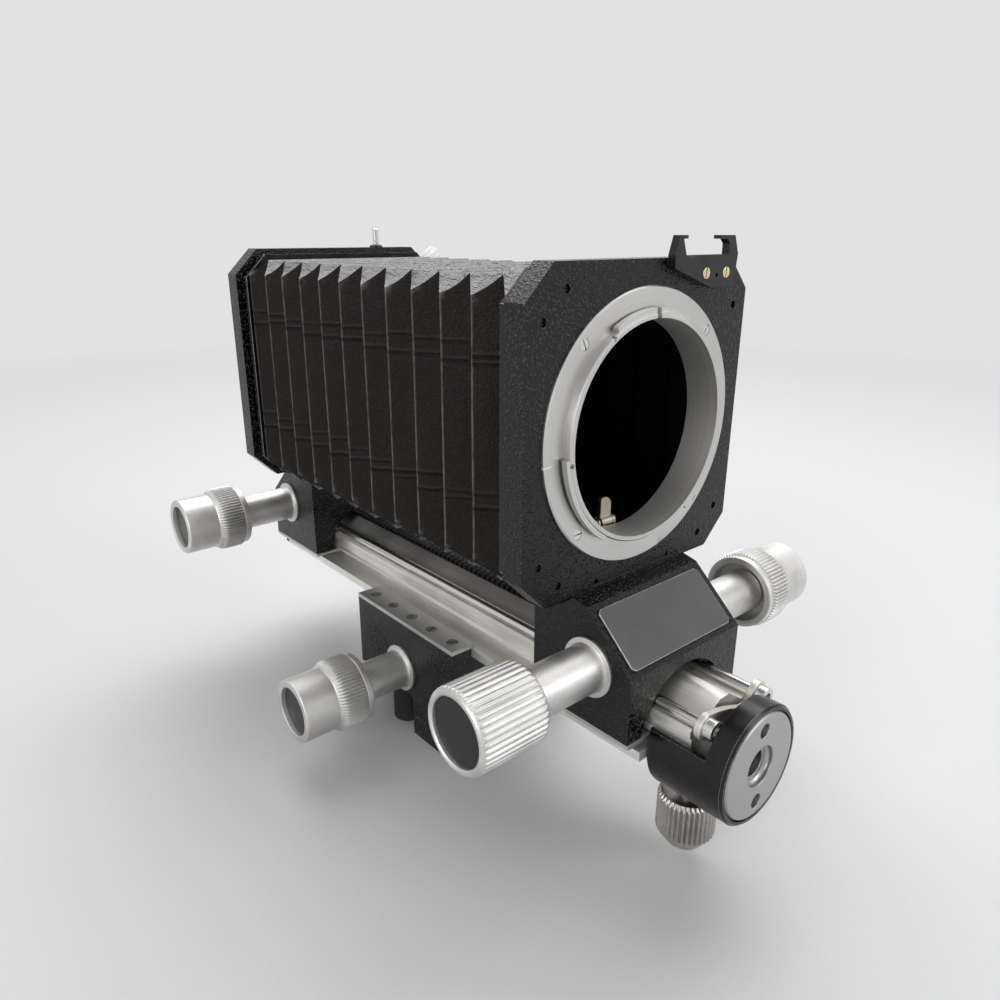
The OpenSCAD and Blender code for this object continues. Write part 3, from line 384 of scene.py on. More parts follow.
ground_strip = metal("ground_aluminium_strip", (0.56, 0.555, 0.54), 0.42, 0.12, 3000.0, 0.004, along=160.0)
screw_steel = metal("oxidised_screw_steel", (0.22, 0.215, 0.205), 0.34, 0.3, 2500.0, 0.006)
for node in ("carriage_cover_strips", "front_base_plate", "rear_base_plate"):
    eased_copy(node, 0.12, ground_strip)
for node in ("cover_strip_screws", "front_base_screws", "rear_base_screws", "end_stop_screws"):
    eased_copy(node, 0.08, screw_steel, sharp=50)

# ---------------------------------------------------------------------------
# Nameplate
# Etched aluminium plate with rounded corners, pressed into a milled pocket on
# the slope of the front base. Its face is plain dark grey enamel and is bare.


def enamel(name, dark, light, rough, cloud=220.0, peel=1300.0, depth=0.008, shine=0.5):
    """A smooth coat, clouded from dark to light, with a faint orange peel of depth mm.

    cloud and peel are the fineness of each."""
    material, tree, shader, place = blank_material(name)
    clouds = noise(tree, place, cloud, 5.0)
    gloss = remap(tree, clouds, 0.3, 0.7, rough - 0.06, rough + 0.07)
    shader.inputs["Specular IOR Level"].default_value = shine
    coat(tree, shader, mix(tree, clouds, dark, light), gloss, noise(tree, place, peel), depth)
    return material


plate_enamel = enamel(
    "dark_grey_plate_enamel", (0.082, 0.080, 0.082), (0.125, 0.122, 0.125), 0.40, 120.0, 2600.0, 0.003
)
plate_edge = metal("bare_plate_edge", (0.50, 0.49, 0.48), 0.34, 0.3, 900.0, 0.002, bare=0.8)
eased_copy("nameplate", 0.14, plate_enamel, pale_edge=plate_edge)

# ---------------------------------------------------------------------------
# Lens mount ring and its screws
# Turned from stainless steel: a broad flange with fine turning marks, a raised
# lip with three breech lugs, and a dull throat. Four small screws hold it.

optical_axis = 103.4


def turning_group():
    """Turning marks round the Y axis: noise over the distance from it and the place along it."""
    entries = {"Vector": "Vector", "Fineness": "Float"}
    group, entry, leave = blank_group("turning marks", entries, ["Height"])
    split = add(group, "ShaderNodeSeparateXYZ", {0: entry["Vector"]}).outputs
    across = add(group, "ShaderNodeCombineXYZ", {0: split[0], 1: split[2]}).outputs[0]
    radius = maths(group, "MULTIPLY", vectors(group, "LENGTH", across), entry["Fineness"])
    depth = maths(group, "MULTIPLY", split[1], entry["Fineness"])
    cell = add(group, "ShaderNodeCombineXYZ", {0: radius, 1: depth}).outputs[0]
    sockets = {"Vector": cell, "Scale": 1.0, "Detail": 3.0}
    marks = add(group, "ShaderNodeTexNoise", sockets, noise_dimensions="2D").outputs["Fac"]
    group.links.new(marks, leave["Height"])
    return group


turning_marks = turning_group()


def index_mark(tree, across, angle, inner):
    """The mask of a mark that runs outwards at an angle in degrees, from a radius of inner mm."""
    half_width = 0.24
    ray = (math.cos(math.radians(angle)), math.sin(math.radians(angle)), 0.0)
    beside = vectors(tree, "DOT_PRODUCT", across, (-ray[1], ray[0], 0.0))
    close = maths(tree, "LESS_THAN", maths(tree, "ABSOLUTE", beside), half_width * MM)
    outside = maths(tree, "GREATER_THAN", vectors(tree, "DOT_PRODUCT", across, ray), inner * MM)
    return maths(tree, "MULTIPLY", close, outside)


def turned_metal(name, colour, rough, axis_height, fineness=3500.0, depth=0.0015, bore=None, tick=None):
    """Metal turned round a Y axis at a height in mm, with marks of a depth in mm.

    The finish is coarse inside a radius of bore mm. A white index mark has the angle in degrees
    and the inner radius in mm that tick gives."""
    material, tree, shader, place = blank_material(name)
    centred = vectors(tree, "SUBTRACT", place, (0, 0, axis_height * MM))
    sockets = {"Vector": centred, "Fineness": fineness}
    marks = add(tree, "ShaderNodeGroup", sockets, node_tree=turning_marks).outputs["Height"]
    tone = mix(tree, remap(tree, marks, 0.3, 0.7), shaded(colour, 0.94), shaded(colour, 1.06))
    gloss = remap(tree, noise(tree, place, 90.0, 4.0), 0.3, 0.7, rough * 0.85, rough * 1.2)
    shader.inputs["Metallic"].default_value = 1.0
    split = add(tree, "ShaderNodeSeparateXYZ", {0: centred}).outputs
    across = add(tree, "ShaderNodeCombineXYZ", {0: split[0], 1: split[2]}).outputs[0]
    if bore:
        inside = maths(tree, "LESS_THAN", vectors(tree, "LENGTH", across), bore * MM)
        gloss = add(tree, "ShaderNodeMix", {0: inside, 2: gloss, 3: 0.58}).outputs[0]
    if tick:
        mark = index_mark(tree, across, *tick)
        tone = mix(tree, mark, tone, (0.80, 0.79, 0.76))
        tree.links.new(maths(tree, "SUBTRACT", 1.0, mark), shader.inputs["Metallic"])
    coat(tree, shader, tone, gloss, marks, depth)
    return material


mount_steel = turned_metal(
    "turned_stainless_mount", (0.58, 0.572, 0.555), 0.36, optical_axis, bore=24.5, tick=(-173.5, 28.9)
)
eased_copy("lens_mount_ring", 0.09, mount_steel, sharp=42)
bright_nickel = metal("bright_nickel_plate", (0.70, 0.69, 0.66), 0.27, 0.10, 1800.0, 0.003)
eased_copy("mount_ring_screws", 0.08, bright_nickel, sharp=50)

# ---------------------------------------------------------------------------
# Accessory bracket and its brass screws
# Bent and pierced steel plate in smooth black enamel, with two hooks that
# hold an accessory's foot, and two slotted brass screws.

black_enamel = enamel("smooth_black_enamel", (0.003, 0.0035, 0.004), (0.012, 0.013, 0.014), 0.24, shine=0.42)
eased_copy("index_bracket", 0.34, black_enamel)
plain_brass = metal("plain_brass", (0.82, 0.70, 0.46), 0.26, 0.14, 2500.0, 0.005)
eased_copy("bracket_screws", 0.08, plain_brass, sharp=50)

# ---------------------------------------------------------------------------
# Diaphragm lever with its bracket and spring
# A nickelled tab on a pin behind the throat's lower edge, pushed forward by a
# small brass torsion spring.

dull_nickel = metal("dull_nickel_lever", (0.46, 0.42, 0.34), 0.34, 0.22, 1800.0, 0.005)
eased_copy("diaphragm_lever", 0.15, dull_nickel)
eased_copy("lever_bracket", 0.12, dull_nickel)
eased_copy("lever_spring", 0.03, plain_brass, sharp=80)

# ---------------------------------------------------------------------------
# Shaft bushings
# Turned aluminium sleeves with a flared foot, bead-blasted and clear anodised,
# pressed into the castings on both sides of each shaft.

front_shaft = (-56.9, 52.75)
rear_shaft = (89.7, 52.75)
carriage_shaft = (15.5, 20.4)


def softened(corners, steps=5):
    """A profile through (x, r, size) corners in mm, each inner one rounded by a curve of its size."""
    profile = np.array(corners, float)[:, :2]
    out = [profile[0]]
    for k in range(1, len(corners) - 1):
        here = profile[k]
        back = profile[k - 1] - here
        on = profile[k + 1] - here
        size = min(corners[k][2], 0.49 * np.linalg.norm(back), 0.49 * np.linalg.norm(on))
        if size <= 0:
            out.append(here)
            continue
        start = here + back / np.linalg.norm(back) * size
        stop = here + on / np.linalg.norm(on) * size
        t = np.linspace(0, 1, steps)[:, None]
        out.extend((1 - t) ** 2 * start + 2 * t * (1 - t) * here + t**2 * stop)
    out.append(profile[-1])
    return np.array(out)


def weld(mesh, sharp):
    """Merges doubled points, turns the faces outwards and shades the mesh."""
    work = bmesh.new()
    work.from_mesh(mesh)
    bmesh.ops.remove_doubles(work, verts=work.verts, dist=1e-7)
    bmesh.ops.recalc_face_normals(work, faces=work.faces)
    work.to_mesh(mesh)
    work.free()
    finish_mesh(mesh, sharp)


def turned_part(name, profile, place, side, steps, cuts=None, upright=False):
    """A turned part: the point at station (x, r) and angle t is (side x, r cos t, r sin t) + (0, place).

    An upright one is (r cos t, r sin t, x) + (place, 0). cuts(x, r, t) lowers r."""
    t = np.arange(steps) * 2 * math.pi / steps
    x = np.repeat(profile[:, :1], steps, 1)
    r = np.repeat(profile[:, 1:2], steps, 1)
    if cuts is not None:
        r = r - cuts(x, r, t[None, :])
    first = place[0] + r * np.cos(t)
    second = place[1] + r * np.sin(t)
    points = [first, second, x] if upright else [side * x, first, second]
    mesh = grid_mesh(name, np.stack(points, -1) * MM, wrap=True, flip=side < 0)
    weld(mesh, 40)
    return mesh


def blasted(name, colour, rough):
    """Bead-blasted anodised aluminium: a fine even grain with faint handling marks."""
    material, tree, shader, place = blank_material(name)
    grain = noise(tree, place, 5200.0, 3.0, Roughness=0.7)
    broad = noise(tree, place, 110.0, 5.0)
    spread = remap(tree, maths(tree, "MULTIPLY", grain, broad), 0.14, 0.38)
    gloss = remap(tree, broad, 0.3, 0.7, rough - 0.04, rough + 0.06)
    shader.inputs["Metallic"].default_value = 1.0
    coat(tree, shader, mix(tree, spread, shaded(colour, 0.80), shaded(colour, 1.15)), gloss, grain, 0.012)
    return material


blasted_aluminium = blasted("bead_blasted_aluminium", (0.68, 0.67, 0.65), 0.46)


def bushing_profile(face, end):
    """Foot flange, hollow fillet and neck, from the casting's face outwards, closed along the bore."""
    bore, spigot, neck, foot = 2.45, 4.4, 5.65, 7.1
    root = face - 7
    return softened([
        (root, bore, 0), (root, spigot, 0.1), (face, spigot, 0), (face, foot, 0.12),
        (face + 0.8, foot, 0.15), (face + 0.9, neck + 0.35, 0.2), (face + 1.5, neck, 0.5),
        (end, neck, 0.35), (end, bore, 0.2), (root, bore, 0),
    ], 6)


def bushings(node, face, place, left_end, right_end):
    """Both sleeves of one shaft as one piece."""
    work = bmesh.new()
    for side, end in ((-1, left_end), (1, right_end)):
        work.from_mesh(turned_part(node, bushing_profile(face, end), place, side, 96))
    mesh = bpy.data.meshes.new(node + "_turned")
    work.to_mesh(mesh)
    work.free()
    finish_mesh(mesh, 40)
    place_piece(mesh.name, mesh, body_of[node], "satin", blasted_aluminium, node)


base_face, carriage_face = 20, 23.2
drive_end, lock_end = 40, 41.4
bushings("front_bushings", base_face, front_shaft, drive_end, lock_end)
bushings("rear_bushings", base_face, rear_shaft, lock_end, drive_end)
bushings("carriage_bushings", carriage_face, carriage_shaft, lock_end, drive_end)

# ---------------------------------------------------------------------------
# Drive knobs
# Turned aluminium drums with forty straight flutes milled along them, rounded
# at both rims, and a dished end that holds a dark cap. Pinned to the shafts.

# a near-black cap: japanned in the drive knobs' dished ends, and painted shade in the lock knobs' deep bores
dark_cap_japan_and_shade = enamel(
    "dark_cap_japan_and_painted_shade", (0.0012, 0.0012, 0.0012), (0.008, 0.0076, 0.0072), 0.20, 420.0, 900.0, shine=0.3
)


def grooves(count, depth, narrowness, floor_radius, fade, span=(-math.inf, math.inf)):
    """Straight grooves: a function that gives depth (0.5 - 0.5 cos(count t)) ** narrowness in mm.

    They lie within a span of x, and fade in above the radius floor_radius."""

    def cut(x, r, t):
        wave = (0.5 - 0.5 * np.cos(count * t)) ** narrowness
        return depth * wave * np.clip((r - floor_radius) / fade, 0, 1) * (x > span[0]) * (x < span[1])

    return cut


def capped_knob(node, ending, place, side, profile, steps, cuts, cap_profile):
    """The turned body of a knob and the dark cap in its end."""
    mesh = turned_part(node + ending, profile, place, side, steps, cuts)
    place_piece(mesh.name, mesh, body_of[node], "satin", blasted_aluminium, node)
    cap = turned_part(node + "_cap", cap_profile, place, side, 96)
    place_piece(cap.name, cap, body_of[node], "black", dark_cap_japan_and_shade)


def drive_knob(node, place, side):
    """One fluted knob from its inner face to the bottom of the dish."""
    flutes, outer, near, end, bore = 40, 9.35, 40.2, 58.2, 2.4
    dish = end - 1.5
    profile = softened([
        (near, bore, 0), (near, outer - 1.1, 0.3), (near + 1.1, outer, 1.0), (end - 0.9, outer, 0.9),
        (end, outer - 0.8, 0.6), (end, 7.85, 0.15), (end - 0.35, 7.5, 0.1), (dish, 7.45, 0.05), (dish, 0, 0),
    ], 8)
    cap = softened([
        (dish - 0.05, 0, 0), (dish - 0.05, 7.42, 0.05), (end - 1.1, 7.4, 0.1), (end - 0.95, 7.15, 0.2),
        (end - 1.05, 0, 0),
    ])
    cuts = grooves(flutes, 0.36, 2.6, outer - 0.30, 0.22)
    capped_knob(node, "_fluted", place, side, profile, flutes * 12, cuts, cap)


drive_knob("front_drive_knob", front_shaft, -1)
drive_knob("rear_drive_knob", rear_shaft, 1)
drive_knob("carriage_drive_knob", carriage_shaft, 1)

# ---------------------------------------------------------------------------
# Lock knobs
# Turned in one piece: a thin inner ring, a knurled band, a chamfer and a plain
# drum whose end is bored out round a dark dished cap, which is painted shade in the bore.


def lock_knob(node, place, side):
    """One lock knob from the recess round the neck to the bottom of the outer bore."""
    knurls, near, end, bore = 66, 38.6, 59.0, 2.4
    recess, ring, band, drum = 8.0, 9.8, 10.4, 9.0
    seat = end - 4.6
    profile = softened([
        (near + 3.4, bore, 0), (near + 3.4, recess, 0.2), (near, recess, 0.3), (near, ring, 0.35),
        (near + 1.9, ring, 0.3), (near + 2.1, ring - 0.35, 0.1), (near + 2.3, band, 0.4),
        (near + 8.5, band, 0.6), (near + 10.3, drum + 0.15, 0.2), (near + 10.5, drum, 0.2),
        (end, drum, 0.55), (end, 6.9, 0.25), (end - 2.3, 6.85, 0.2), (end - 2.9, 6.3, 0.2),
        (seat, 6.25, 0.1), (seat, 0, 0),
    ])
    # painted shade: the near-black cap fills the bottom of the bore, where shade falls
    cap = softened([
        (seat - 0.1, 0, 0), (seat - 0.1, 6.2, 0.05), (end - 2.95, 6.2, 0.05), (end - 2.2, 6.76, 0.05),
        (end - 1.4, 6.78, 0.15), (end - 1.2, 6.5, 0.2), (end - 1.35, 0, 0),
    ])
    cuts = grooves(knurls, 0.62, 1.4, 9.75, 0.5, (near + 2.05, near + 9.6))
    capped_knob(node, "_knurled", place, side, profile, knurls * 8, cuts, cap)


lock_knob("front_lock_knob", front_shaft, 1)
lock_knob("rear_lock_knob", rear_shaft, -1)
lock_knob("carriage_lock_knob", carriage_shaft, -1)

# ---------------------------------------------------------------------------
# Shafts, pinions and racks
# Hardened steel, turned and hobbed; the racks are milled bars let into slots
# of the rail. The shafts and screws keep their CAD solids.


def dress(node, material):
    """Gives a CAD solid its finish."""
    mesh = frame["nodes"][node].data
    mesh.materials.clear()
    mesh.materials.append(material)


gear_steel = metal("milled_gear_steel", (0.42, 0.415, 0.40), 0.32, 0.15, 2600.0, 0.004, along=300.0)
for station in ("front", "rear", "carriage"):
    dress(station + "_drive_shaft", gear_steel)
    dress(station + "_lock_screw", gear_steel)
dress("clamp_screw", gear_steel)
# painted shade: the racks' steel is darkened nearly to black, standing for the shade under the bellows
shade_darkened_rack_steel = metal(
    "rack_steel_painted_shade", (0.020, 0.0195, 0.019), 0.40, 0.3, 2600.0, 0.004, along=300.0, bare=0.7
)
eased_copy("upper_rack", 0.06, shade_darkened_rack_steel)
eased_copy("lower_rack", 0.06, shade_darkened_rack_steel)

# ---------------------------------------------------------------------------
# Rail, guide rods and rod ends
# The rail is an aluminium extrusion, satin ground along its length; two bright
# rods lie in grooves on its shoulders, tied in front by a cast strap.

rail_satin = metal(
    "satin_ground_rail", (0.82, 0.805, 0.765), 0.43, 0.10, 2600.0, 0.004, along=60.0, bare=0.86
)
eased_copy("rail", 0.18, rail_satin)
rod_chrome = metal("hard_chromed_rod", (0.70, 0.69, 0.66), 0.24, 0.05, 1800.0, 0.001, along=120.0)
eased_copy("guide_rods", 0.15, rod_chrome, sharp=50)
eased_copy("guide_rod_screws", 0.15, rod_chrome, sharp=50)
cast_strap = metal("cast_white_metal_strap", (0.74, 0.72, 0.66), 0.42, 0.12, 1500.0, 0.010, bare=0.85)
eased_copy("rod_strap", 0.22, cast_strap, sharp=50)
eased_copy("rail_end_stop", 0.25, black_enamel)

# ---------------------------------------------------------------------------
# End clamp, its disc and its fluted knob
# A black anodised ring with an open cradle that grips the rail's end. The satin
# disc screwed into it has a threaded socket and two spanner holes; the nickelled
# knob below draws the clamp tight.

clamp_axis_height = 35.2
clamp_knob_place = (0, -72.6)
black_anodised = enamel(
    "black_anodised", (0.0018, 0.0018, 0.002), (0.0075, 0.0075, 0.008), 0.25, 300.0, 3600.0, 0.003, 0.34
)
# lighter bare aluminium on eased edges: worn metal, and also a painted highlight along the edges
worn_and_highlit_edge = metal("worn_and_highlit_aluminium_edge", (0.70, 0.69, 0.67), 0.45, 0.35, 700.0, 0.003, bare=0.55)
eased_copy("end_clamp", 0.14, black_anodised, pale_edge=worn_and_highlit_edge)
disc_satin = turned_metal("turned_satin_disc", (0.42, 0.42, 0.425), 0.40, clamp_axis_height, 7000.0, 0.004)
eased_copy("end_disc", 0.2, disc_satin)

knob_flutes = 36
knob_radius = 7.15
knob_profile = softened([
    (4.2, 0, 0), (4.2, 4.5, 0.3), (4.9, 5.0, 0.3), (7.2, 5.2, 0.2), (7.2, 6.6, 0.3), (7.8, knob_radius, 0.3),
    (17.1, knob_radius, 0.3), (18.2, 6.1, 0.2), (18.2, 1.9, 0.1), (7, 1.9, 0), (7, 0, 0),
])
knob_cuts = grooves(knob_flutes, 0.55, 1.6, 6.35, 0.3)
knob_mesh = turned_part(
    "clamp_knob_fluted", knob_profile, clamp_knob_place, 1, knob_flutes * 12, knob_cuts, upright=True
)
aged_nickel = metal("aged_nickel_knob", (0.52, 0.50, 0.46), 0.34, 0.25, 1200.0, 0.004)
place_piece("clamp_knob_fluted", knob_mesh, "clamp", "satin", aged_nickel, "clamp_knob")

# ---------------------------------------------------------------------------
# Bellows frames and their screws
# Black anodised aluminium frames screwed behind each plate; the cloth is glued
# round their windows.

for standard in ("front", "rear"):
    # painted highlight: the frames' eased edges take the light aluminium edge material
    eased_copy(standard + "_bellows_frame", 0.34, black_anodised, pale_edge=worn_and_highlit_edge)
    dress(standard + "_frame_screws", black_anodised)

# ---------------------------------------------------------------------------
# Turning camera mount, its pin and its clamp screw
# A black carrier in the rear plate with a stainless breech ring; the clamp
# screw and the nickelled release pin stand on the plate's top edge.

eased_copy("camera_mount_carrier", 0.2, black_anodised)
breech_steel = turned_metal("turned_breech_ring", (0.62, 0.615, 0.60), 0.30, optical_axis)
eased_copy("camera_mount_ring", 0.15, breech_steel, sharp=42)
eased_copy("camera_ring_screws", 0.08, bright_nickel, sharp=50)
eased_copy("mount_clamp_screw", 0.06, blasted_aluminium, sharp=25)
eased_copy("mount_release_pin", 0.2, bright_nickel, sharp=50)

# ---------------------------------------------------------------------------
# Rubber feet and bearing shoes
# Moulded rubber studs under the carriage's rear, and bronze shoes on the rods.

rubber = enamel("black_rubber", (0.010, 0.010, 0.010), (0.035, 0.034, 0.033), 0.70, 300.0, 700.0, 0.02)
eased_copy("rear_feet", 0.5, rubber)
bearing_bronze = metal("bearing_bronze", (0.36, 0.25, 0.13), 0.36, 0.2, 1800.0, 0.004, along=200.0)
dress("front_guide_shoes", bearing_bronze)
dress("rear_guide_shoes", bearing_bronze)

# ---------------------------------------------------------------------------
# Bellows
# Leather-grained cloth over card stiffeners, folded into eleven pleats. Side
# folds stand out where the top and bottom folds lie in, so the corners zigzag.

pleats = 11
bellows_start, bellows_end = -43.2, 74.4
pleat = (bellows_end - bellows_start) / pleats
tube_half_width, tube_half_height = 33.5, 29.3
fold_depth = 4.2
fold_softness = 0.06
cloth_thickness = 0.7
columns_per_side = 48
panel_rows = np.array([0, 0.018, 0.042, 0.08, 0.16, 0.33, 0.5, 0.67, 0.84, 0.92, 0.958, 0.982])


def soft_zigzag(s, soft):
    """A zigzag from 0 to 1 and back for each two steps of s, rounded over the share soft at each turn.

    The plain zigzag is u. Near 0 it becomes (u ** 2 + soft ** 2) / (2 soft), and near 1 its mirror image."""
    u = np.abs(((s / 2 + 0.5) % 1.0) - 0.5) * 2
    rounded = np.where(u < soft, (u**2 + soft**2) / (2 * soft), u)
    return np.where(u > 1 - soft, 1 - ((1 - u) ** 2 + soft**2) / (2 * soft), rounded)


def bellows_grid(first, last, inset):
    """Points round the cloth tube, ring by ring, with the fold number s and the zigzag z(s) of each.

    Half the width is w = tube_half_width - fold_depth z(s) - inset, and half the height is
    h = tube_half_height + fold_depth z(s) - inset. v runs from 0 to 1 along a side, closer at its ends."""
    s = (np.arange(first, last)[:, None] + panel_rows[None, :]).reshape(-1)
    s = np.append(s, last)[:, None]
    z = soft_zigzag(s, fold_softness)
    w = tube_half_width - fold_depth * z - inset
    h = tube_half_height + fold_depth * z - inset
    share = np.arange(columns_per_side) / columns_per_side
    v = ((1 - np.cos(share * math.pi)) / 2 * 0.35 + share * 0.65)[None, :]
    flat = 0 * v
    x = np.concatenate([-w + 2 * w * v, w + flat, w - 2 * w * v, -w + flat], 1)
    up = np.concatenate([-h + flat, -h + 2 * h * v, h + flat, h - 2 * h * v], 1)
    y = bellows_start + s * pleat / 2 + 0 * x
    return np.stack([x, y, optical_axis + up], -1), s + 0 * x, z + 0 * x


def hashed(k):
    """A repeatable number from 0 to 1 for each number k."""
    return np.modf(np.abs(np.sin(k * 12.9898 + 4.137) * 43758.5453))[0]


def bellows_skin(first, last):
    """Rings of the skin and of the lining from one fold number to another.

    f is the share of a panel passed, a the place along its fold in mm, p the panel's number and k = 4 p + side.
    The cloth puffs out by sin(pi f) times 0.30 cos(0.11 a + 1.7 k) (0.5 + hashed(k + 3))
    + 0.11 sin(0.55 a + 2.3 k) mm, and less towards the corners and the ends. At a distance of reach mm
    from a glued corner it sags by 1.1 hashed(p + 7.3) sin(pi f) exp(-reach / 3) mm. Gives the skin, the
    lining, which points are on the level sides, and how far each is on a rubbed ridge or corner."""
    outer, s, z = bellows_grid(first, last, 0.0)
    inner, _, _ = bellows_grid(first, last, cloth_thickness)
    side = np.repeat(np.arange(4), columns_per_side)[None, :] + 0 * s
    level = (side == 0) | (side == 2)
    height = outer[..., 2] - optical_axis
    along = np.where(level, outer[..., 0], height)
    panel = np.floor(s + 1e-6)
    key = panel * 4 + side
    swell = np.sin(math.pi * (s - panel))
    broad = 0.30 * swell * np.cos(along * 0.11 + key * 1.7) * (0.5 + hashed(key + 3))
    push = broad + 0.11 * np.sin(along * 0.55 + key * 2.3) * swell
    push *= np.clip((28.0 - np.abs(along)) / 6.0, 0, 1)
    push *= np.clip((s - first) * 1.5, 0, 1) * np.clip((last - s) * 1.5, 0, 1)
    outward = np.zeros_like(outer)
    outward[..., 0] = np.where(side == 1, 1, np.where(side == 3, -1, 0))
    outward[..., 2] = np.where(side == 2, 1, np.where(side == 0, -1, 0))
    half = np.where(level, tube_half_width - fold_depth * z, tube_half_height + fold_depth * z)
    reach = half - np.abs(along)
    sag = 1.1 * hashed(panel + 7.3) * swell * np.exp(-reach / 3.0)
    sag *= np.clip(s - first, 0, 1) * np.clip(last - s, 0, 1)
    drop = np.stack([0 * sag, 0 * sag, -np.sign(height) * sag], -1)
    outer = outer + drop + outward * push[..., None]
    inner = inner + drop + outward * push[..., None] * 0.8
    stand = np.where(level, z, 1 - z)
    ridge = np.clip((stand - 0.945) / 0.02, 0, 1)
    corner = np.exp(-reach / 0.9) * np.clip((stand - 0.6) / 0.35, 0, 1)
    return outer, inner, level, ridge, corner


def bellows_half(name, first, last, body, node):
    """One half of the tube, closed at both ends; its lining is another cloth, and its sides and its level faces
    are shaded and lit copies of one cloth.
    """
    outer, inner, level, ridge, corner = bellows_skin(first, last)
    skin = np.concatenate([outer, inner[::-1], outer[:1]], 0) * MM
    mesh = grid_mesh(name, skin, wrap=True)
    for label, values in (("ridge", ridge), ("corner", corner)):
        values = np.concatenate([values, 0 * values, values[:1]], 0)
        attribute = mesh.attributes.new(label, "FLOAT", "POINT")
        attribute.data.foreach_set("value", values.reshape(-1).astype(np.float32))
    finishes = [shaded_side_cloth, bellows_lining, lit_top_and_bottom_cloth]
    cover = np.where(level[:1], finishes.index(lit_top_and_bottom_cloth), finishes.index(shaded_side_cloth)).astype(np.int32)
    cover = np.repeat(cover, len(skin) - 1, 0)
    cover[len(outer) : 2 * len(outer) - 1] = finishes.index(bellows_lining)
    mesh.attributes.new("cover", "INT", "FACE").data.foreach_set("value", cover.reshape(-1))
    weld(mesh, 46)
    piece = place_piece(name, mesh, body, "cloth", finishes[0], node)
    for finish in finishes[1:]:
        mesh.materials.append(finish)
    cover = np.zeros(len(mesh.polygons), np.int32)
    mesh.attributes["cover"].data.foreach_get("value", cover)
    mesh.polygons.foreach_set("material_index", cover)
    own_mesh(piece)


def crease_group():
    """One crease across a panel where its card stiffener ends, near the height At in mm over the axis.

    Puts out the pressed line and the rubbed edge above it."""
    numbers = dict.fromkeys(("Height", "Panel", "At", "Seed", "Waver"), "Float")
    group, entry, leave = blank_group("stiffener crease", numbers, ["Pressed", "Rubbed"])
    number = maths(group, "ADD", entry["Panel"], entry["Seed"])
    chance = add(group, "ShaderNodeTexWhiteNoise", {"W": number}, noise_dimensions="1D").outputs
    line = maths(group, "MULTIPLY_ADD", chance["Value"], 2.2, entry["At"])
    off = maths(group, "SUBTRACT", entry["Height"], line)
    bent = maths(group, "MULTIPLY_ADD", entry["Waver"], 0.45, off)
    split = add(group, "ShaderNodeSeparateColor", {0: chance["Color"]}).outputs
    force = remap(group, split["Green"], 0.0, 1.0, 0.25, 1.0)
    for label, centre, inner, outer in (("Pressed", 0.0, 0.12, 0.50), ("Rubbed", 0.75, 0.15, 0.60)):
        distance = maths(group, "ABSOLUTE", maths(group, "SUBTRACT", bent, centre))
        mask = remap(group, distance, inner, outer, 1.0, 0.0, interpolation_type="SMOOTHSTEP")
        group.links.new(maths(group, "MULTIPLY", mask, force), leave[label])
    return group


creases = crease_group()


def crease_masks(tree, place, waver, lines):
    """The pressed and the rubbed parts of all creases; lines holds the seed and the height in mm of each."""
    axes = add(tree, "ShaderNodeSeparateXYZ", {0: place}).outputs
    height = maths(tree, "MULTIPLY_ADD", axes[2], 1 / MM, -optical_axis)
    run = maths(tree, "MULTIPLY_ADD", axes[1], 2 / (pleat * MM), -2 * bellows_start / pleat)
    panel = maths(tree, "FLOOR", run)
    pressed = rubbed = 0.0
    for seed, at in lines:
        sockets = {"Height": height, "Panel": panel, "At": at, "Seed": seed, "Waver": waver}
        crease = add(tree, "ShaderNodeGroup", sockets, node_tree=creases).outputs
        pressed = maths(tree, "MAXIMUM", pressed, crease["Pressed"])
        rubbed = maths(tree, "MAXIMUM", rubbed, crease["Rubbed"])
    return pressed, rubbed


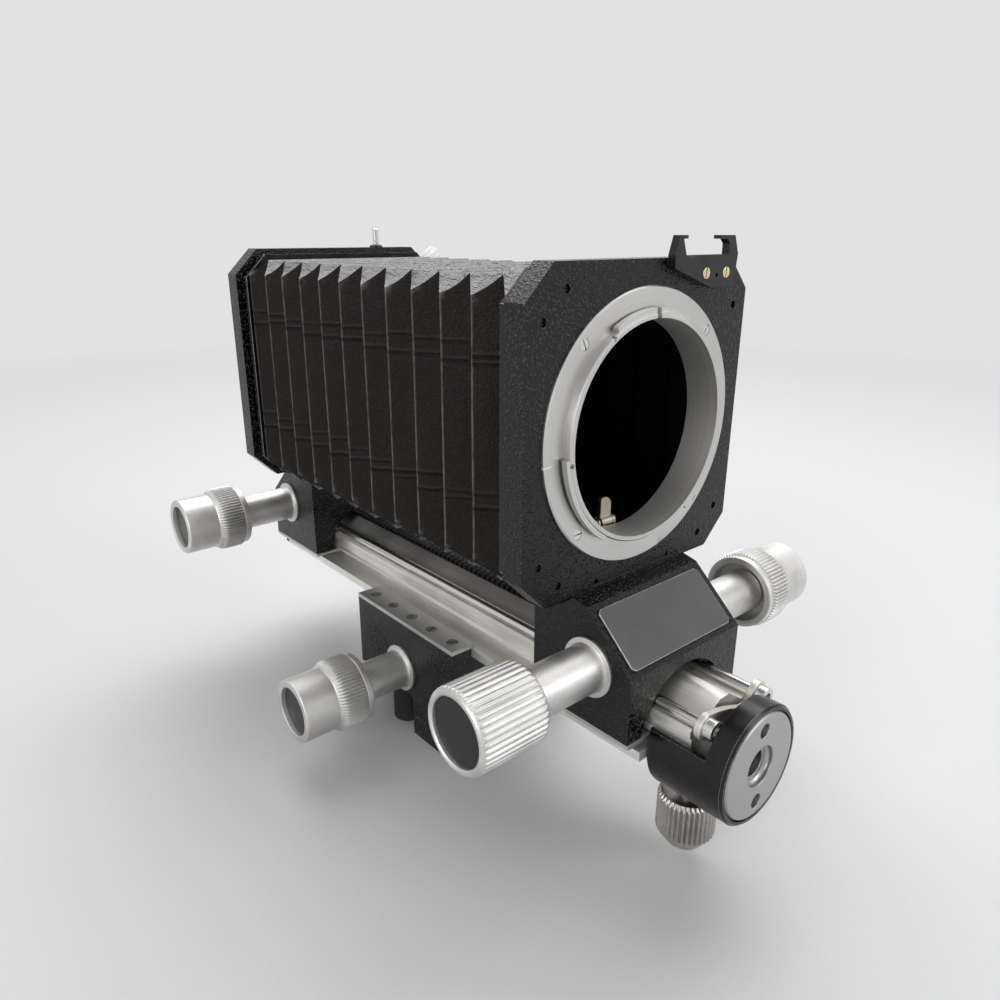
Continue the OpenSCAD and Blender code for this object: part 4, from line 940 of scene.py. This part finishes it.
def leathercloth(name, dark, light, rough, shine, crumple, lines):
    """Grained leathercloth, rubbed pale along its ridges.

    crumple is its share of soft dents, and lines the seed and the height in mm of each crease."""
    material, tree, shader, place = blank_material(name)
    patches = noise(tree, place, 500.0, 3.0)
    stain = noise(tree, place, 60.0, 5.0, Roughness=0.6)
    dents = noise(tree, place, 230.0, 3.0, Distortion=0.6)
    threads = add(tree, "ShaderNodeMapping", {"Vector": place, "Scale": (3200.0, 3200.0, 500.0)})
    weave = noise(tree, threads.outputs[0], 1.0, 3.0)
    cell = {"Vector": place, "Scale": 1900.0, "Smoothness": 0.6}
    pebble = add(tree, "ShaderNodeTexVoronoi", cell, feature="SMOOTH_F1").outputs["Distance"]
    surface = maths(tree, "MULTIPLY_ADD", weave, 0.8, pebble)
    surface = maths(tree, "MULTIPLY_ADD", dents, crumple, surface)
    tone = maths(tree, "ADD", stain, remap(tree, pebble, 0.1, 0.6, -0.35, 0.35))
    base = mix(tree, tone, dark, light)
    ridge = add(tree, "ShaderNodeAttribute", attribute_name="ridge").outputs["Fac"]
    corner = add(tree, "ShaderNodeAttribute", attribute_name="corner").outputs["Fac"]
    pale_edge = maths(tree, "MULTIPLY", ridge, remap(tree, patches, 0.30, 0.60, 0.45, 1.0))
    bald = maths(tree, "MULTIPLY", corner, remap(tree, patches, 0.45, 0.60))
    layers = [(pale_edge, 1.0, (0.15, 0.14, 0.13)), (bald, 0.8, (0.30, 0.28, 0.26))]
    if lines:
        pressed, rubbed = crease_masks(tree, place, maths(tree, "SUBTRACT", patches, 0.5), lines)
        # painted shade: each crease's pressed line is painted near black, as shade in the crease
        layers += [(rubbed, 0.5, (0.050, 0.038, 0.033)), (pressed, 0.95, (0.0008, 0.0008, 0.0008))]
        surface = maths(tree, "MULTIPLY_ADD", pressed, -2.6, surface)
        surface = maths(tree, "MULTIPLY_ADD", rubbed, 1.4, surface)
    for mask, share, colour in layers:
        base = mix(tree, maths(tree, "MULTIPLY", mask, share), base, colour)
    gloss = remap(tree, stain, 0.3, 0.7, rough - 0.06, rough + 0.08)
    shader.inputs["Specular IOR Level"].default_value = shine
    coat(tree, shader, base, gloss, surface, 0.16)
    return material


stiffener_ends = ((3.0, 16.9), (31.0, 13.9), (57.0, -15.4), (83.0, -18.6))
# painted shade: the side panels are the darker, duller copy of the cloth
shaded_side_cloth = leathercloth(
    "leathercloth_sides_painted_shade", (0.0018, 0.0014, 0.0014), (0.0160, 0.0110, 0.0098), 0.50, 0.16, 2.0, stiffener_ends
)
# painted sheen: the top and bottom faces are the lighter, glossier copy of the same cloth
lit_top_and_bottom_cloth = leathercloth(
    "leathercloth_top_and_bottom_painted_sheen", (0.013, 0.012, 0.0115), (0.044, 0.041, 0.039), 0.34, 1.0, 6.0, ()
)
bellows_lining = enamel(
    "black_lining", (0.0015, 0.0015, 0.0015), (0.004, 0.004, 0.004), 0.85, 200.0, 1200.0, 0.03, 0.1
)

bellows_half("bellows_front_cloth", 0, pleats, "front", "bellows_front")
bellows_half("bellows_rear_cloth", pleats, 2 * pleats, "rear", "bellows_rear")

bpy.context.scene.view_settings.view_transform = "Standard"
